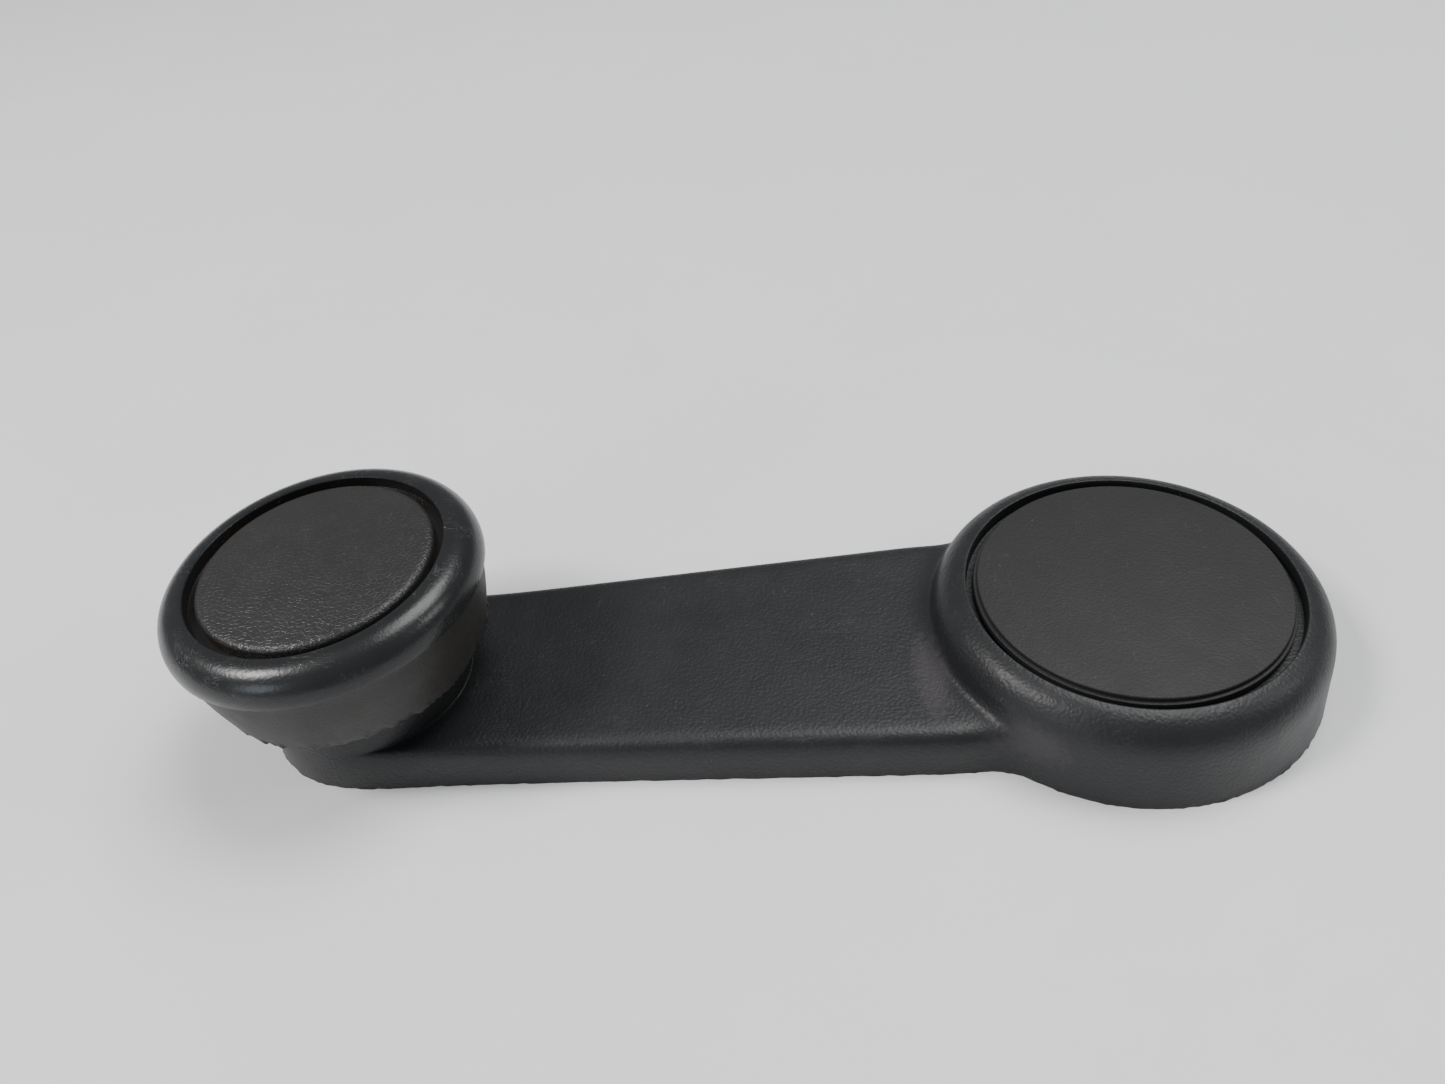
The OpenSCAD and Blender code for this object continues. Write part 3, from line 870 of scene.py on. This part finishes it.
@dataclass
class ArmMoulding:
    """Hub, arm and knob pad in one moulding, ribbed behind.

    The outside is a coarse cage that subdivision rounds, so the hub, the neck and the arm
    run into each other in one self.skin. The hollows behind are cut from the finished self.skin.
    """

    back_radius: float = 26.5
    shoulder_radius: float = 25.7
    roll: float = 5.0
    roll_height: float = 8.1  # of the centre of the hub's rounding
    recess_radius: float = 21.4
    seat: float = 11.2  # height of the recess's floor
    well_radius: float = 14.6
    well_floor: float = 8.6
    arm_top: float = 6.6
    neck: float = 19.1  # distance from the spindle where the arm's straight sides start
    hub_width: float = 39.2  # width of the arm at the neck
    knob_width: float = 29.0  # width of the arm beside the pin
    pad_radius: float = 14.4
    side_row: float = 2.4  # height of the cage's row between the lower edge and the top
    edge_row: float = 4.8  # height to which the long top edges are lowered to round them
    parting: float = 0.3  # height of the lower edge before its flash is added
    wall: float = 2.2
    rib: float = 1.4
    rib_foot: float = 1.4
    hub_ribs: int = 8
    arm_ribs: int = 5
    pad_ribs: int = 6
    boss_radius: float = 10.4
    pad_boss: float = 6.4
    hex_radius: float = 8.3
    core_width: float = 15.0
    core_middle: float = 3.4  # height of the middle of the steel core
    core_thickness: float = 2.0
    pin_shank: float = 3.2
    hub_count: int = 32  # cage columns around the hub
    pad_count: int = 16  # cage columns around the pad
    fineness: int = 3
    gap: float = 0.02  # clearance around the steel pieces
    # Length along the arm from the hub's opening, and share of the opening's bow.
    stations: tuple[tuple[float, float], ...] = (
        (6.0, 0.80), (11.5, 0.62), (19.0, 0.30), (30.0, 0.06), (44.0, 0.01), (58.0, 0.01),
        (66.5, 0.01))

    def __post_init__(self) -> None:
        """Start the skin, take the pin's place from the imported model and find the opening."""
        self.skin = Workpiece("arm_moulding_skin")
        self.reach = -KNOB_PLACE.translation.x
        self.pad_height = KNOB_PLACE.translation.z
        self.lean = math.atan2(-KNOB_PLACE.col[2].x, KNOB_PLACE.col[2].z)
        self.to_pad = Matrix.Translation((-self.reach, 0.0, 0.0))
        self.root = self.back_radius * 1.01
        self.side_x = -self.root * math.cos(math.pi / 4)
        self.channel_start = -self.back_radius - 0.8
        self.channel_end = -self.reach + self.pad_radius + 0.6

    def build(self) -> None:
        """Model the moulding and give it its finish."""
        with self.skin.editing():
            bpy.ops.mesh.select_all(action="SELECT")
            bpy.ops.mesh.delete(type="VERT")
            for step in (self.hub, self.grow_arm, self.round_edges, self.pad, self.join_pad):
                step()
            bpy.ops.mesh.select_all(action="SELECT")
            bpy.ops.mesh.normals_make_consistent(inside=False)
        self.skin.modify("SUBSURF", levels=self.fineness, render_levels=self.fineness)
        for step in (self.close_back, self.hollow, self.brace, self.brace_pad, self.bore):
            step()
        self.skin.cut(self.inside)
        self.skin.finished(Body.CRANK, Slot.ARM, ARM_FINISH, "arm_moulding")

    @staticmethod
    def slack(count: int) -> float:
        """Give how much subdivision draws a ring of that many columns inwards."""
        return 2 / 3 + math.cos(FULL_TURN / count) / 3

    def raise_rings(self, rings: Outline, count: int, centre: Vector) -> None:
        """Add a ring, extrude it to each next radius and height, and close the last.

        Args:
            rings: Radius and height of each ring after subdivision.
            count: Number of its columns.
            centre: A point on the rings' axis.
        """
        rings = [(radius / self.slack(count), height) for radius, height in rings]
        bpy.ops.mesh.select_all(action="DESELECT")
        bpy.ops.mesh.primitive_circle_add(vertices=count, radius=rings[0][0],
                                          location=(centre.x, 0.0, rings[0][1]))
        bpy.ops.mesh.select_mode(type="EDGE")
        for (radius, height), (next_radius, next_height) in zip(rings, rings[1:]):
            step = (0.0, 0.0, next_height - height)
            bpy.ops.mesh.extrude_edges_move(TRANSFORM_OT_translate={"value": step})
            share = next_radius / radius
            bpy.ops.transform.resize(value=(share, share, 1.0), center_override=centre)
        bpy.ops.mesh.edge_face_add()

    def hub(self) -> None:
        """Raise the hub over its rim and down to the well's floor, open towards the arm."""
        middle = self.shoulder_radius - self.roll
        recess, seat, well, floor = (self.recess_radius, self.seat, self.well_radius,
                                     self.well_floor)

        def roll_top(radius: float) -> float:
            """Give the height of the rim's rounding at a distance from the axis."""
            return self.roll_height + math.sqrt(self.roll ** 2 - (radius - middle) ** 2)

        lip = roll_top(recess)
        over = self.roll / self.slack(16)
        lean = (self.back_radius - self.shoulder_radius) / self.roll_height
        sides = [(self.back_radius - lean * z, z)
                 for z in (self.parting, self.side_row, self.arm_top)]
        arc = [(middle + over * math.cos(math.radians(a)),
                self.roll_height + over * math.sin(math.radians(a))) for a in (15, 38, 60)]
        self.raise_rings(sides + arc + [
            (recess + 0.5, roll_top(recess + 0.5) + 0.03), (recess + 0.08, lip),
            (recess, lip - 0.25), (recess, lip - 0.8), (recess, seat + 0.25),
            (recess - 0.05, seat), (recess - 0.4, seat), (well + 0.5, seat),
            (well + 0.05, seat), (well, seat - 0.3), (well, floor + 0.3),
            (well - 0.05, floor), (well - 0.4, floor), (self.hex_radius + 1.5, floor),
        ], self.hub_count, ORIGIN)
        self.skin.pick(lambda co: co.z < self.arm_top and -co.x > abs(co.y)
                  and co.xy.length > well, "FACE")
        bpy.ops.mesh.delete(type="FACE")

    def in_side(self, co: Vector) -> bool:
        """Tell whether a point lies in the height of the arm's sides."""
        return self.parting + 0.1 < co.z < self.arm_top + 0.1

    def grow_arm(self) -> None:
        """Extrude the arm station by station from the opening in the hub."""
        self.skin.pick(lambda co: self.in_side(co) and -co.x > abs(co.y) * 0.98
                  and co.xy.length > self.well_radius, "EDGE", open_only=True)
        bow = self.root + self.side_x
        past_x, past_bow, past_half = self.side_x, bow, self.root * math.sin(math.pi / 4)
        for run, share in self.stations:
            x = self.side_x - run
            here_bow, here_half = bow * share, self.half_width(x)
            step = (x - past_x, 0.0, 0.0)
            bpy.ops.mesh.extrude_edges_move(TRANSFORM_OT_translate={"value": step})
            bpy.ops.transform.resize(value=(here_bow / past_bow, here_half / past_half, 1.0),
                                     center_override=(x, 0.0, 0.0))
            past_x, past_bow, past_half = x, here_bow, here_half

    def half_width(self, x: float) -> float:
        """Give half the arm's width at a place along it."""
        share = (x + self.reach) / (self.reach - self.neck)
        return (self.knob_width + (self.hub_width - self.knob_width) * share) / 2

    def round_edges(self) -> None:
        """Lower the arm's two long top edges, so that subdivision rounds them."""
        def corner(co: Vector) -> bool:
            """Tell the points on those edges."""
            edge = self.half_width(co.x) if co.x < self.side_x - 1 else -self.side_x
            return (abs(co.z - self.arm_top) < 0.1 and co.x < self.side_x + 0.3
                    and abs(co.y) > edge - 0.3 and co.xy.length > self.recess_radius)

        self.skin.pick(corner)
        bpy.ops.transform.translate(value=(0.0, 0.0, self.edge_row - self.arm_top))
        bpy.ops.transform.resize(value=(1.0, 0.985, 1.0), center_override=ORIGIN)

    def pad(self) -> None:
        """Raise the round pad that carries the knob, open towards the hub."""
        centre, radius, top = self.to_pad.translation, self.pad_radius, self.pad_height
        self.raise_rings([
            (radius + 0.15, self.parting), (radius + 0.1, self.side_row),
            (radius, self.arm_top), (radius, top - 1.6), (radius, top - 0.3),
            (radius - 0.3, top), (radius - 1.6, top), (radius * 0.5, top),
        ], self.pad_count, centre)
        self.skin.pick(lambda co: co.z < self.arm_top and co.x > -self.reach
                  and (co.xy - centre.xy).length < radius + 1, "FACE")
        bpy.ops.mesh.delete(type="FACE")
        self.skin.pick(lambda co: co.z > top - 2.0 and co.x < -self.reach + 20)
        bpy.ops.transform.rotate(value=self.lean, orient_axis="Y",
                                 center_override=(centre.x, 0.0, top))

    def join_pad(self) -> None:
        """Bridge the arm's last station with the pad, and crease the pad's foot."""
        last = self.side_x - self.stations[-1][0]
        self.skin.pick(lambda co: self.in_side(co) and co.x < last + 0.5, "EDGE", open_only=True)
        bpy.ops.mesh.bridge_edge_loops(number_cuts=2, interpolation="LINEAR")

        def on_foot(co: Vector) -> bool:
            """Tell the edges where the arm's top meets the pad's side."""
            away = math.hypot(co.x + self.reach, co.y)
            return abs(co.z - self.arm_top) < 0.1 and abs(away - self.pad_radius) < 0.5

        self.skin.pick(on_foot, "EDGE")
        bpy.ops.transform.edge_crease(value=0.6)

    def close_back(self) -> None:
        """Bring the lower edge down with its rough flash, and close the flat back."""
        with self.skin.editing("EDGE"):
            bpy.ops.mesh.select_non_manifold(extend=False, use_wire=False,
                                             use_multi_face=False, use_non_contiguous=False,
                                             use_verts=False)
            drop = (0.0, 0.0, -self.parting)
            bpy.ops.mesh.extrude_edges_move(TRANSFORM_OT_translate={"value": drop})
            bpy.ops.mesh.edge_face_add()
            self.skin.tidy()
        self.skin.roughen(lambda co: co.z < 0.05, 0.26, 0.5)
        with self.skin.editing():
            self.skin.pick(lambda co: co.z < 0.2)
            bpy.ops.transform.resize(value=(1.0, 1.0, 0.0), center_override=ORIGIN)

    def hollow(self) -> None:
        """Model the closed shape of all that is hollow behind the hub, the arm and the pad."""
        below, boss = -1.0, self.boss_radius
        outer = self.back_radius - 2.6
        roof, boss_roof = self.seat - self.wall, self.well_floor - 2.0
        step = self.well_radius + self.wall
        self.inside = turned("hollow", rounded([
            Corner(boss, below), Corner(outer, below), Corner(outer - 0.6, roof, 0.8),
            Corner(step, roof, 0.5), Corner(step, boss_roof, 0.3),
            Corner(boss, boss_roof, 0.5),
        ]), 128)
        self.inside.weld(bar("socket_room", boss + 0.1, below, self.core_middle))
        pocket_radius, pocket_roof = self.pad_radius - self.wall, self.pad_height - 2.6
        pocket = turned("pad_pocket", rounded([
            Corner(0.0, below), Corner(pocket_radius, below),
            Corner(pocket_radius, pocket_roof, 0.6), Corner(0.0, pocket_roof),
        ], closed=False), 96, closed=False)
        pocket.place(self.to_pad)
        self.inside.weld(pocket)
        self.inside.weld(self.channel(below))

    def channel(self, below: float) -> Workpiece:
        """Model the arm's tapered channel.

        Args:
            below: Height of its open side.

        Returns:
            The closed piece.
        """
        start, end, roof = self.channel_start, self.channel_end, self.arm_top - self.wall
        near = self.half_width(start) - self.wall
        far = self.half_width(end) - self.wall
        channel = block("channel", (end, -far, below), (start, far, roof))
        with channel.editing():
            channel.pick(lambda co: co.x > start - 1)
            bpy.ops.transform.resize(value=(1.0, near / far, 1.0), center_override=ORIGIN)
            channel.pick(lambda co: co.z > roof - 0.1, "EDGE")
            bpy.ops.mesh.bevel(offset=0.6, segments=3, affect="EDGES")
            channel.tidy()
        return channel

    def brace(self) -> None:
        """Leave the ribs behind the hub and the arm standing."""
        low, half, top = self.rib_foot, self.rib / 2, self.arm_top
        rib = block("hub_rib", (self.boss_radius - 1.0, -half, low + 0.6),
                    (self.back_radius - 2.0, half, self.seat), 0.12)
        for copy in fanned(rib, self.hub_ribs, 0.5):
            self.inside.cut(copy)
        start, end = self.channel_start, self.channel_end
        pitch = (start - end) / (self.arm_ribs + 1)
        for index in range(self.arm_ribs):
            middle = start - (index + 1) * pitch
            reach = self.half_width(middle)
            self.inside.cut(block(f"cross_rib_{index}", (middle - half, -reach, low),
                             (middle + half, reach, top), 0.12))
        # The small offsets keep the long ribs' faces off the cross ribs' and the core's.
        for side in (-1, 1):
            edge = side * (self.core_width / 2 + half + 0.06)
            self.inside.cut(block(f"long_rib_{side + 1}", (end - 0.53, edge - half, low - 0.11),
                             (start + 0.57, edge + half, top + 0.3), 0.1))

    def brace_pad(self) -> None:
        """Leave the boss and the ribs around the pin standing."""
        half = self.rib / 2
        boss = bar("pin_boss", self.pad_boss, self.core_middle, self.pad_height + 0.4, 64)
        boss.place(self.to_pad)
        self.inside.cut(boss)
        rib = block("pad_rib", (self.pad_boss - 1.0, -half, self.core_middle + 1.0),
                    (self.pad_radius - 1.0, half, self.pad_height), 0.12)
        for copy in fanned(rib, self.pad_ribs, 0.5, place=self.to_pad):
            self.inside.cut(copy)

    def bore(self) -> None:
        """Add the seats of the steel core, the socket and the pin to the hollow."""
        gap = self.gap
        half = self.core_thickness / 2 + gap
        low, high = self.core_middle - half, self.core_middle + half
        width = self.core_width / 2 + gap
        bend = -self.reach + self.pad_radius + 1.0
        slot = block("core_slot", (bend, -width, low), (0.0, width, high))
        with slot.editing():
            slot.pick(lambda co: co.x < bend + 0.1, "FACE")
            run = self.pad_radius + 1.0 + self.core_width / 2
            fall = (-run, 0.0, -run * math.tan(self.lean))
            bpy.ops.mesh.extrude_region_move(TRANSFORM_OT_translate={"value": fall})
            slot.tidy()
        self.inside.weld(slot)
        self.inside.weld(bar("core_disc", self.boss_radius + gap, low - gap, high + gap))
        self.inside.weld(bar("hex_seat", self.hex_radius + gap, -1.0, self.well_floor + 1.0, 6))
        shank = bar("pin_hole", self.pin_shank + gap, -1.0, 3.0, 48)
        shank.place(KNOB_PLACE @ Matrix.Translation((0.0, 0.0, -9.0)))
        self.inside.weld(shank)


# ---- Hub cap ----


@dataclass
class HubCap:
    """The flat disc that covers the spindle screw."""

    face_radius: float = 20.0
    step: float = 0.4  # how far its foot stands out
    step_drop: float = 0.75  # how far the foot's top lies below the face
    thickness: float = 2.0
    edge_round: float = 0.25
    spigot_wall: float = 1.4
    spigot_radius: float = 14.35
    slot_width: float = 2.0

    def build(self) -> None:
        """Model the disc with its slotted spigot."""
        low, high = millimetre_box("hub_cap")
        top, foot = high.z, high.z - self.thickness
        foot_radius = self.face_radius + self.step
        outer, inner = self.spigot_radius, self.spigot_radius - self.spigot_wall
        disc = turned("hub_cap_disc", rounded([
            Corner(0.0, top), Corner(self.face_radius, top, self.edge_round),
            Corner(self.face_radius, top - self.step_drop, 0.1),
            Corner(foot_radius, top - self.step_drop, 0.12), Corner(foot_radius, foot, 0.2),
            Corner(outer, foot), Corner(outer, low.z, 0.35), Corner(inner, low.z, 0.35),
            Corner(inner, foot, 0.3), Corner(0.0, foot),
        ], closed=False), 160, closed=False)
        half, reach = self.slot_width / 2, outer + 1.0
        for name, x, y in (("slot_x", reach, half), ("slot_y", half, reach)):
            disc.cut(block(name, (-x, -y, low.z - 1.0), (x, y, foot - 0.4), 0.2))
        disc.finished(Body.HUB_COVER, Slot.HUB_CAP, HUB_CAP_FINISH, "hub_cap")


# ---- Knob ----


@dataclass
class Knob:
    """The knob's three shells, modelled about +Z from the face of the arm's pad."""

    foot: float = 0.9
    split: float = 11.6  # height of the line between skirt and rim
    foot_radius: float = 18.2
    split_radius: float = 20.4
    bulge: float = 0.25  # swelling of the skirt's side
    wall: float = 2.0
    rim_radius: float = 21.0
    roll: float = 3.9
    face: float = 16.1
    cap_radius: float = 15.4
    cap_round: float = 1.0
    groove: float = 1.3
    seat_depth: float = 1.9  # of the cap's seat below the face
    crown: float = 0.8  # rise of the cap's dome
    web: float = 7.0
    web_thickness: float = 1.6
    sleeve_radius: float = 7.6
    bush_radius: float = 5.6
    sleeve_top: float = 10.9
    sleeve_foot: float = 1.7
    well_radius: float = 10.4
    rib_count: int = 6
    rib_foot: float = 2.7
    rib_half: float = 0.7

    def __post_init__(self) -> None:
        """Find the height of the cap's seat."""
        self.seat = self.face - self.seat_depth

    def build(self) -> None:
        """Model the skirt, the rim and the cap."""
        for shell, slot, finish, node in (
            (self.skirt(), Slot.SKIRT, SKIRT_FINISH, "knob_skirt"),
            (self.rim(), Slot.RIM, RIM_FINISH, "knob_rim"),
            (self.cap(), Slot.KNOB_CAP, KNOB_CAP_FINISH, "knob_cap"),
        ):
            shell.place(KNOB_PLACE)
            shell.finished(Body.KNOB, slot, finish, node)

    def side(self, share: float) -> tuple[float, float]:
        """Give the radius and height of the skirt's side, at a share of the way up."""
        swell = self.bulge * math.sin(math.pi * share)
        return (self.foot_radius + (self.split_radius - self.foot_radius) * share + swell,
                self.foot + (self.split - self.foot) * share)

    def skirt(self) -> Workpiece:
        """Model the bulged skirt with its web, bearing sleeve, ribs and flash.

        Returns:
            The skirt.
        """
        steps, foot_edge = 10, 0.25
        outer = [self.side(i / steps) for i in range(steps + 1)]
        inner = [(r - self.wall, z) for r, z in outer]
        web, web_top, sleeve = self.web, self.web + self.web_thickness, self.sleeve_radius
        web_wall = self.side((web - self.foot) / (self.split - self.foot))[0] - self.wall
        skirt = turned(
            "knob_skirt_shell",
            [(outer[0][0] - foot_edge, self.foot), (outer[0][0], self.foot + foot_edge)]
            + outer[1:-1]
            + [(outer[-1][0], self.split - 0.3), (outer[-1][0] - 0.35, self.split)]
            + [p for p in inner if p[1] > web_top][::-1]
            + [(web_wall, web_top), (sleeve, web_top), (sleeve, self.sleeve_top - 0.3),
               (sleeve - 0.3, self.sleeve_top), (self.bush_radius, self.sleeve_top),
               (self.bush_radius, self.sleeve_foot), (sleeve, self.sleeve_foot),
               (sleeve, web), (web_wall, web)]
            + [p for p in inner if p[1] < web][::-1], 240)
        skirt.roughen(lambda co: co.z < self.foot + 0.3
                      and co.xy.length > self.foot_radius - 0.4, 0.55, 0.6)
        rib = block("rib", (sleeve - 0.4, -self.rib_half, self.rib_foot),
                    (self.foot_radius - self.wall + 0.4, self.rib_half, web + 0.4), 0.15)
        for copy in fanned(rib, self.rib_count):
            skirt.weld(copy)
        return skirt

    def rim(self) -> Workpiece:
        """Model the rolled rim around the cap's recess, with its snap ring.

        Returns:
            The rim.
        """
        centre_r, centre_z = self.rim_radius - self.roll, self.face - self.roll
        recess, seat, well = self.cap_radius + self.groove, self.seat, self.well_radius
        lip_angle = math.acos((recess - centre_r) / self.roll)
        low_angle = math.asin((self.split - centre_z) / self.roll)
        steps = 22
        angles = [low_angle + (lip_angle - low_angle) * i / steps for i in range(steps + 1)]
        roll = [(centre_r + self.roll * math.cos(a), centre_z + self.roll * math.sin(a))
                for a in angles]
        lip_r, lip_z = roll.pop()
        snap = self.side(0.75)[0] - self.wall - 0.15
        web_foot, hook, split = seat - 1.8, self.web + 2.2, self.split + 0.02
        return turned("knob_rim_roll", roll + [
            (lip_r + 0.12, lip_z - 0.02), (lip_r, lip_z - 0.16), (recess, seat + 0.2),
            (recess - 0.2, seat), (well, seat), (well, web_foot), (snap - 1.6, web_foot),
            (snap - 1.6, hook + 0.2), (snap - 1.3, hook), (snap - 0.3, hook),
            (snap, hook + 0.3), (snap, split), (roll[0][0] - 0.4, split),
        ], 160)

    def cap(self) -> Workpiece:
        """Model the domed, leather-grained cap on its spigot ring.

        Returns:
            The cap.
        """
        dome_radius = (self.cap_radius ** 2 + self.crown ** 2) / (2 * self.crown)
        rise = self.face - 0.2 + self.crown - dome_radius
        steps, cap, over, seat = 14, self.cap_radius, self.cap_round, self.seat
        radii = [(cap - over) * i / steps for i in range(steps + 1)]
        dome = [(r, rise + math.sqrt(dome_radius ** 2 - r ** 2)) for r in radii]
        shoulder = [(cap - over * (1 - math.sin(math.radians(a))),
                     dome[-1][1] - over * 0.8 * (1 - math.cos(math.radians(a))))
                    for a in (18, 36, 54, 72, 90)]
        spigot, foot = self.well_radius - 0.2, seat - 1.9
        return turned("knob_cap_dome", dome + shoulder + [
            (cap, seat + 0.15), (cap - 0.15, seat), (spigot, seat), (spigot, foot + 0.2),
            (spigot - 0.2, foot), (spigot - 1.1, foot), (spigot - 1.3, foot + 0.2),
            (spigot - 1.3, seat), (0.0, seat),
        ], 144, closed=False)


# ---- Fixings ----


@dataclass
class Fixings:
    """The metal and nylon pieces that keep their CAD shapes."""

    turned_nodes: tuple[str, ...] = ("knob_pin", "spline_bush")
    zinc_nodes: tuple[str, ...] = ("arm_core", "plain_washer", "knob_flat_washer")
    spring_nodes: tuple[str, ...] = ("spring_washer", "knob_spring_washer", "knob_retainer")
    nylon_nodes: tuple[str, ...] = ("knob_bush", "knob_thrust_washer")

    def dress(self) -> None:
        """Give each node its finish."""
        for nodes, finish in ((self.turned_nodes, TURNED_STEEL), (self.zinc_nodes, ZINC_STEEL),
                              (self.spring_nodes, SPRING_STEEL), (self.nylon_nodes, NYLON)):
            material = finish.material()
            for node in nodes:
                mesh = frame["nodes"][node].data
                mesh.materials.clear()
                mesh.materials.append(material)
                log.info("%s keeps its CAD shape in %s", node, finish.name)


@dataclass
class RetainingScrew:
    """The pan-head screw under the hub's cap."""

    head_radius: float = 4.6
    head_height: float = 1.5
    shank_radius: float = 2.5
    recess_span: float = 4.8
    recess_arm: float = 1.0
    recess_foot: float = 0.4  # height of the recess's floor above the head's seat

    def build(self) -> None:
        """Model the domed head with its tapered cross recess and the shank."""
        low, high = millimetre_box("retaining_screw")
        top, seat, foot = high.z, high.z - self.head_height, low.z
        head, shank = self.head_radius, self.shank_radius
        screw = turned("retaining_screw_pan_head", rounded([
            Corner(0.0, top), Corner(head - 0.9, top, 0.8), Corner(head, seat + 0.75, 0.4),
            Corner(head, seat, 0.1), Corner(shank, seat, 0.12), Corner(shank, foot + 0.6),
            Corner(shank - 0.6, foot), Corner(0.0, foot),
        ], closed=False), 72, closed=False)
        span, half = self.recess_span / 2, self.recess_arm / 2
        arm = block("recess", (-span, -half, seat + self.recess_foot), (span, half, top + 0.5))
        with arm.editing():
            arm.pick(lambda co: co.z < top)
            bpy.ops.transform.resize(value=(0.6, 0.7, 1.0), center_override=ORIGIN)
        for copy in fanned(arm, 2, sweep=math.pi):
            screw.cut(copy)
        screw.finished(Body.CRANK, Slot.TURNED, TURNED_STEEL, "retaining_screw")


# ---- Stage ----


def heading(azimuth: float, elevation: float) -> Vector:
    """Give the direction at two angles in degrees, azimuth 0 at +Y and positive to +X."""
    across, up = math.radians(azimuth), math.radians(elevation)
    return Vector((math.sin(across) * math.cos(up), math.cos(across) * math.cos(up),
                   math.sin(up)))


def stand(name: str, data: bpy.types.ID, place: Vector, turn: Quaternion) -> bpy.types.Object:
    """Add a camera or a light to the scene.

    Args:
        name: Its name.
        data: Its camera or light data.
        place: Its place, in metres.
        turn: Its rotation.

    Returns:
        Its object.
    """
    item = bpy.data.objects.new(name, data)
    bpy.context.scene.collection.objects.link(item)
    item.matrix_world = Matrix.LocRotScale(place, turn, None)
    return item


@dataclass(frozen=True)
class Softbox:
    """A square studio light that faces the crank; angles in degrees, lengths in metres."""

    name: str
    azimuth: float
    elevation: float
    size: float
    power: float
    colour: Point = (1.0, 1.0, 1.0)
    distance: float = 1.0

    def hang(self, middle: Vector) -> None:
        """Add the light to the scene, facing a point.

        Args:
            middle: The point, in metres.
        """
        data = bpy.data.lights.new(self.name, "AREA")
        data.shape = "SQUARE"
        data.size = self.size
        data.energy = self.power
        data.color = self.colour
        away = heading(self.azimuth, self.elevation)
        stand(self.name, data, middle + away * self.distance,
              (-away).to_track_quat("-Z", "Y"))


@dataclass
class Studio:
    """Camera, floor and lights; angles in degrees, lengths in metres."""

    aim: Point = (-0.0543, 0.02165, 0.0066)
    distance: float = 0.17450
    azimuth: float = -3.239
    elevation: float = 41.582  # how far the camera looks down
    roll: float = 6.657
    lens: float = 28.65  # focal length in millimetres
    sensor: float = 36.0  # width in millimetres
    floor_span: float = 6.0
    lit: Point = (-0.05, 0.0, 0.01)  # point that the lights face
    surroundings: Colour = (0.92, 0.96, 1.0, 1.0)
    surroundings_strength: float = 0.27
    softboxes: tuple[Softbox, ...] = (
        Softbox("left_lamp", -100.0, 50.0, 0.26, 7.8, (1.0, 0.97, 0.96)),
        Softbox("left_window", -137.0, 21.0, 0.34, 1.5, (0.82, 0.90, 1.0)),
        Softbox("right_lamp", 96.0, 34.0, 0.22, 1.2),
        Softbox("overhead_light", 55.0, 68.0, 0.55, 8.0),
    )

    def set_camera(self) -> None:
        """Create the scene's camera."""
        data = bpy.data.cameras.new("camera")
        data.sensor_width = self.sensor
        data.lens = self.lens
        data.clip_start = 0.01
        sight = heading(self.azimuth, -self.elevation)
        level = sight.to_track_quat("-Z", "Y").to_matrix()
        turn = (Matrix.Rotation(math.radians(self.roll), 3, sight) @ level).to_quaternion()
        place = Vector(self.aim) - sight * self.distance
        bpy.context.scene.camera = stand("camera", data, place, turn)

    def lay_floor(self) -> None:
        """Lay the plain pale floor at the height of the crank's back."""
        bpy.ops.object.select_all(action="DESELECT")
        bpy.ops.mesh.primitive_plane_add(size=self.floor_span)
        floor = bpy.context.object
        floor.name = "floor"
        floor.location.z = CAD_BOX[0][2]
        bpy.ops.object.transform_apply(location=True)
        shader = Shader("pale_table")
        spot = shader.place
        height = spot.noise(2.2, 3.0) * 0.6 + spot.noise(0.5, 2.0) * 0.4
        floor.data.materials.append(shader.surface({
            "Base Color": shader.mix(spot.noise(40.0, 3.0), grey(0.78, -0.01), grey(0.84)),
            "Roughness": 0.42 + spot.noise(6.0, 3.0) * 0.2,
            "Normal": shader.bump(height, 0.03),
        }))

    def light(self) -> None:
        """Hang the soft lights and set the even surroundings."""
        world = bpy.data.worlds.new("studio")
        bpy.context.scene.world = world
        world.use_nodes = True
        background = world.node_tree.nodes["Background"]
        background.inputs["Color"].default_value = self.surroundings
        background.inputs["Strength"].default_value = self.surroundings_strength
        for softbox in self.softboxes:
            softbox.hang(Vector(self.lit))


def main() -> None:
    """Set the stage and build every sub-assembly."""
    logging.basicConfig(level=logging.INFO, format="%(name)s: %(message)s")
    studio = Studio()
    studio.set_camera()
    studio.lay_floor()
    studio.light()
    ArmMoulding().build()
    HubCap().build()
    Knob().build()
    Fixings().dress()
    RetainingScrew().build()


if __name__ == "__main__":
    main()
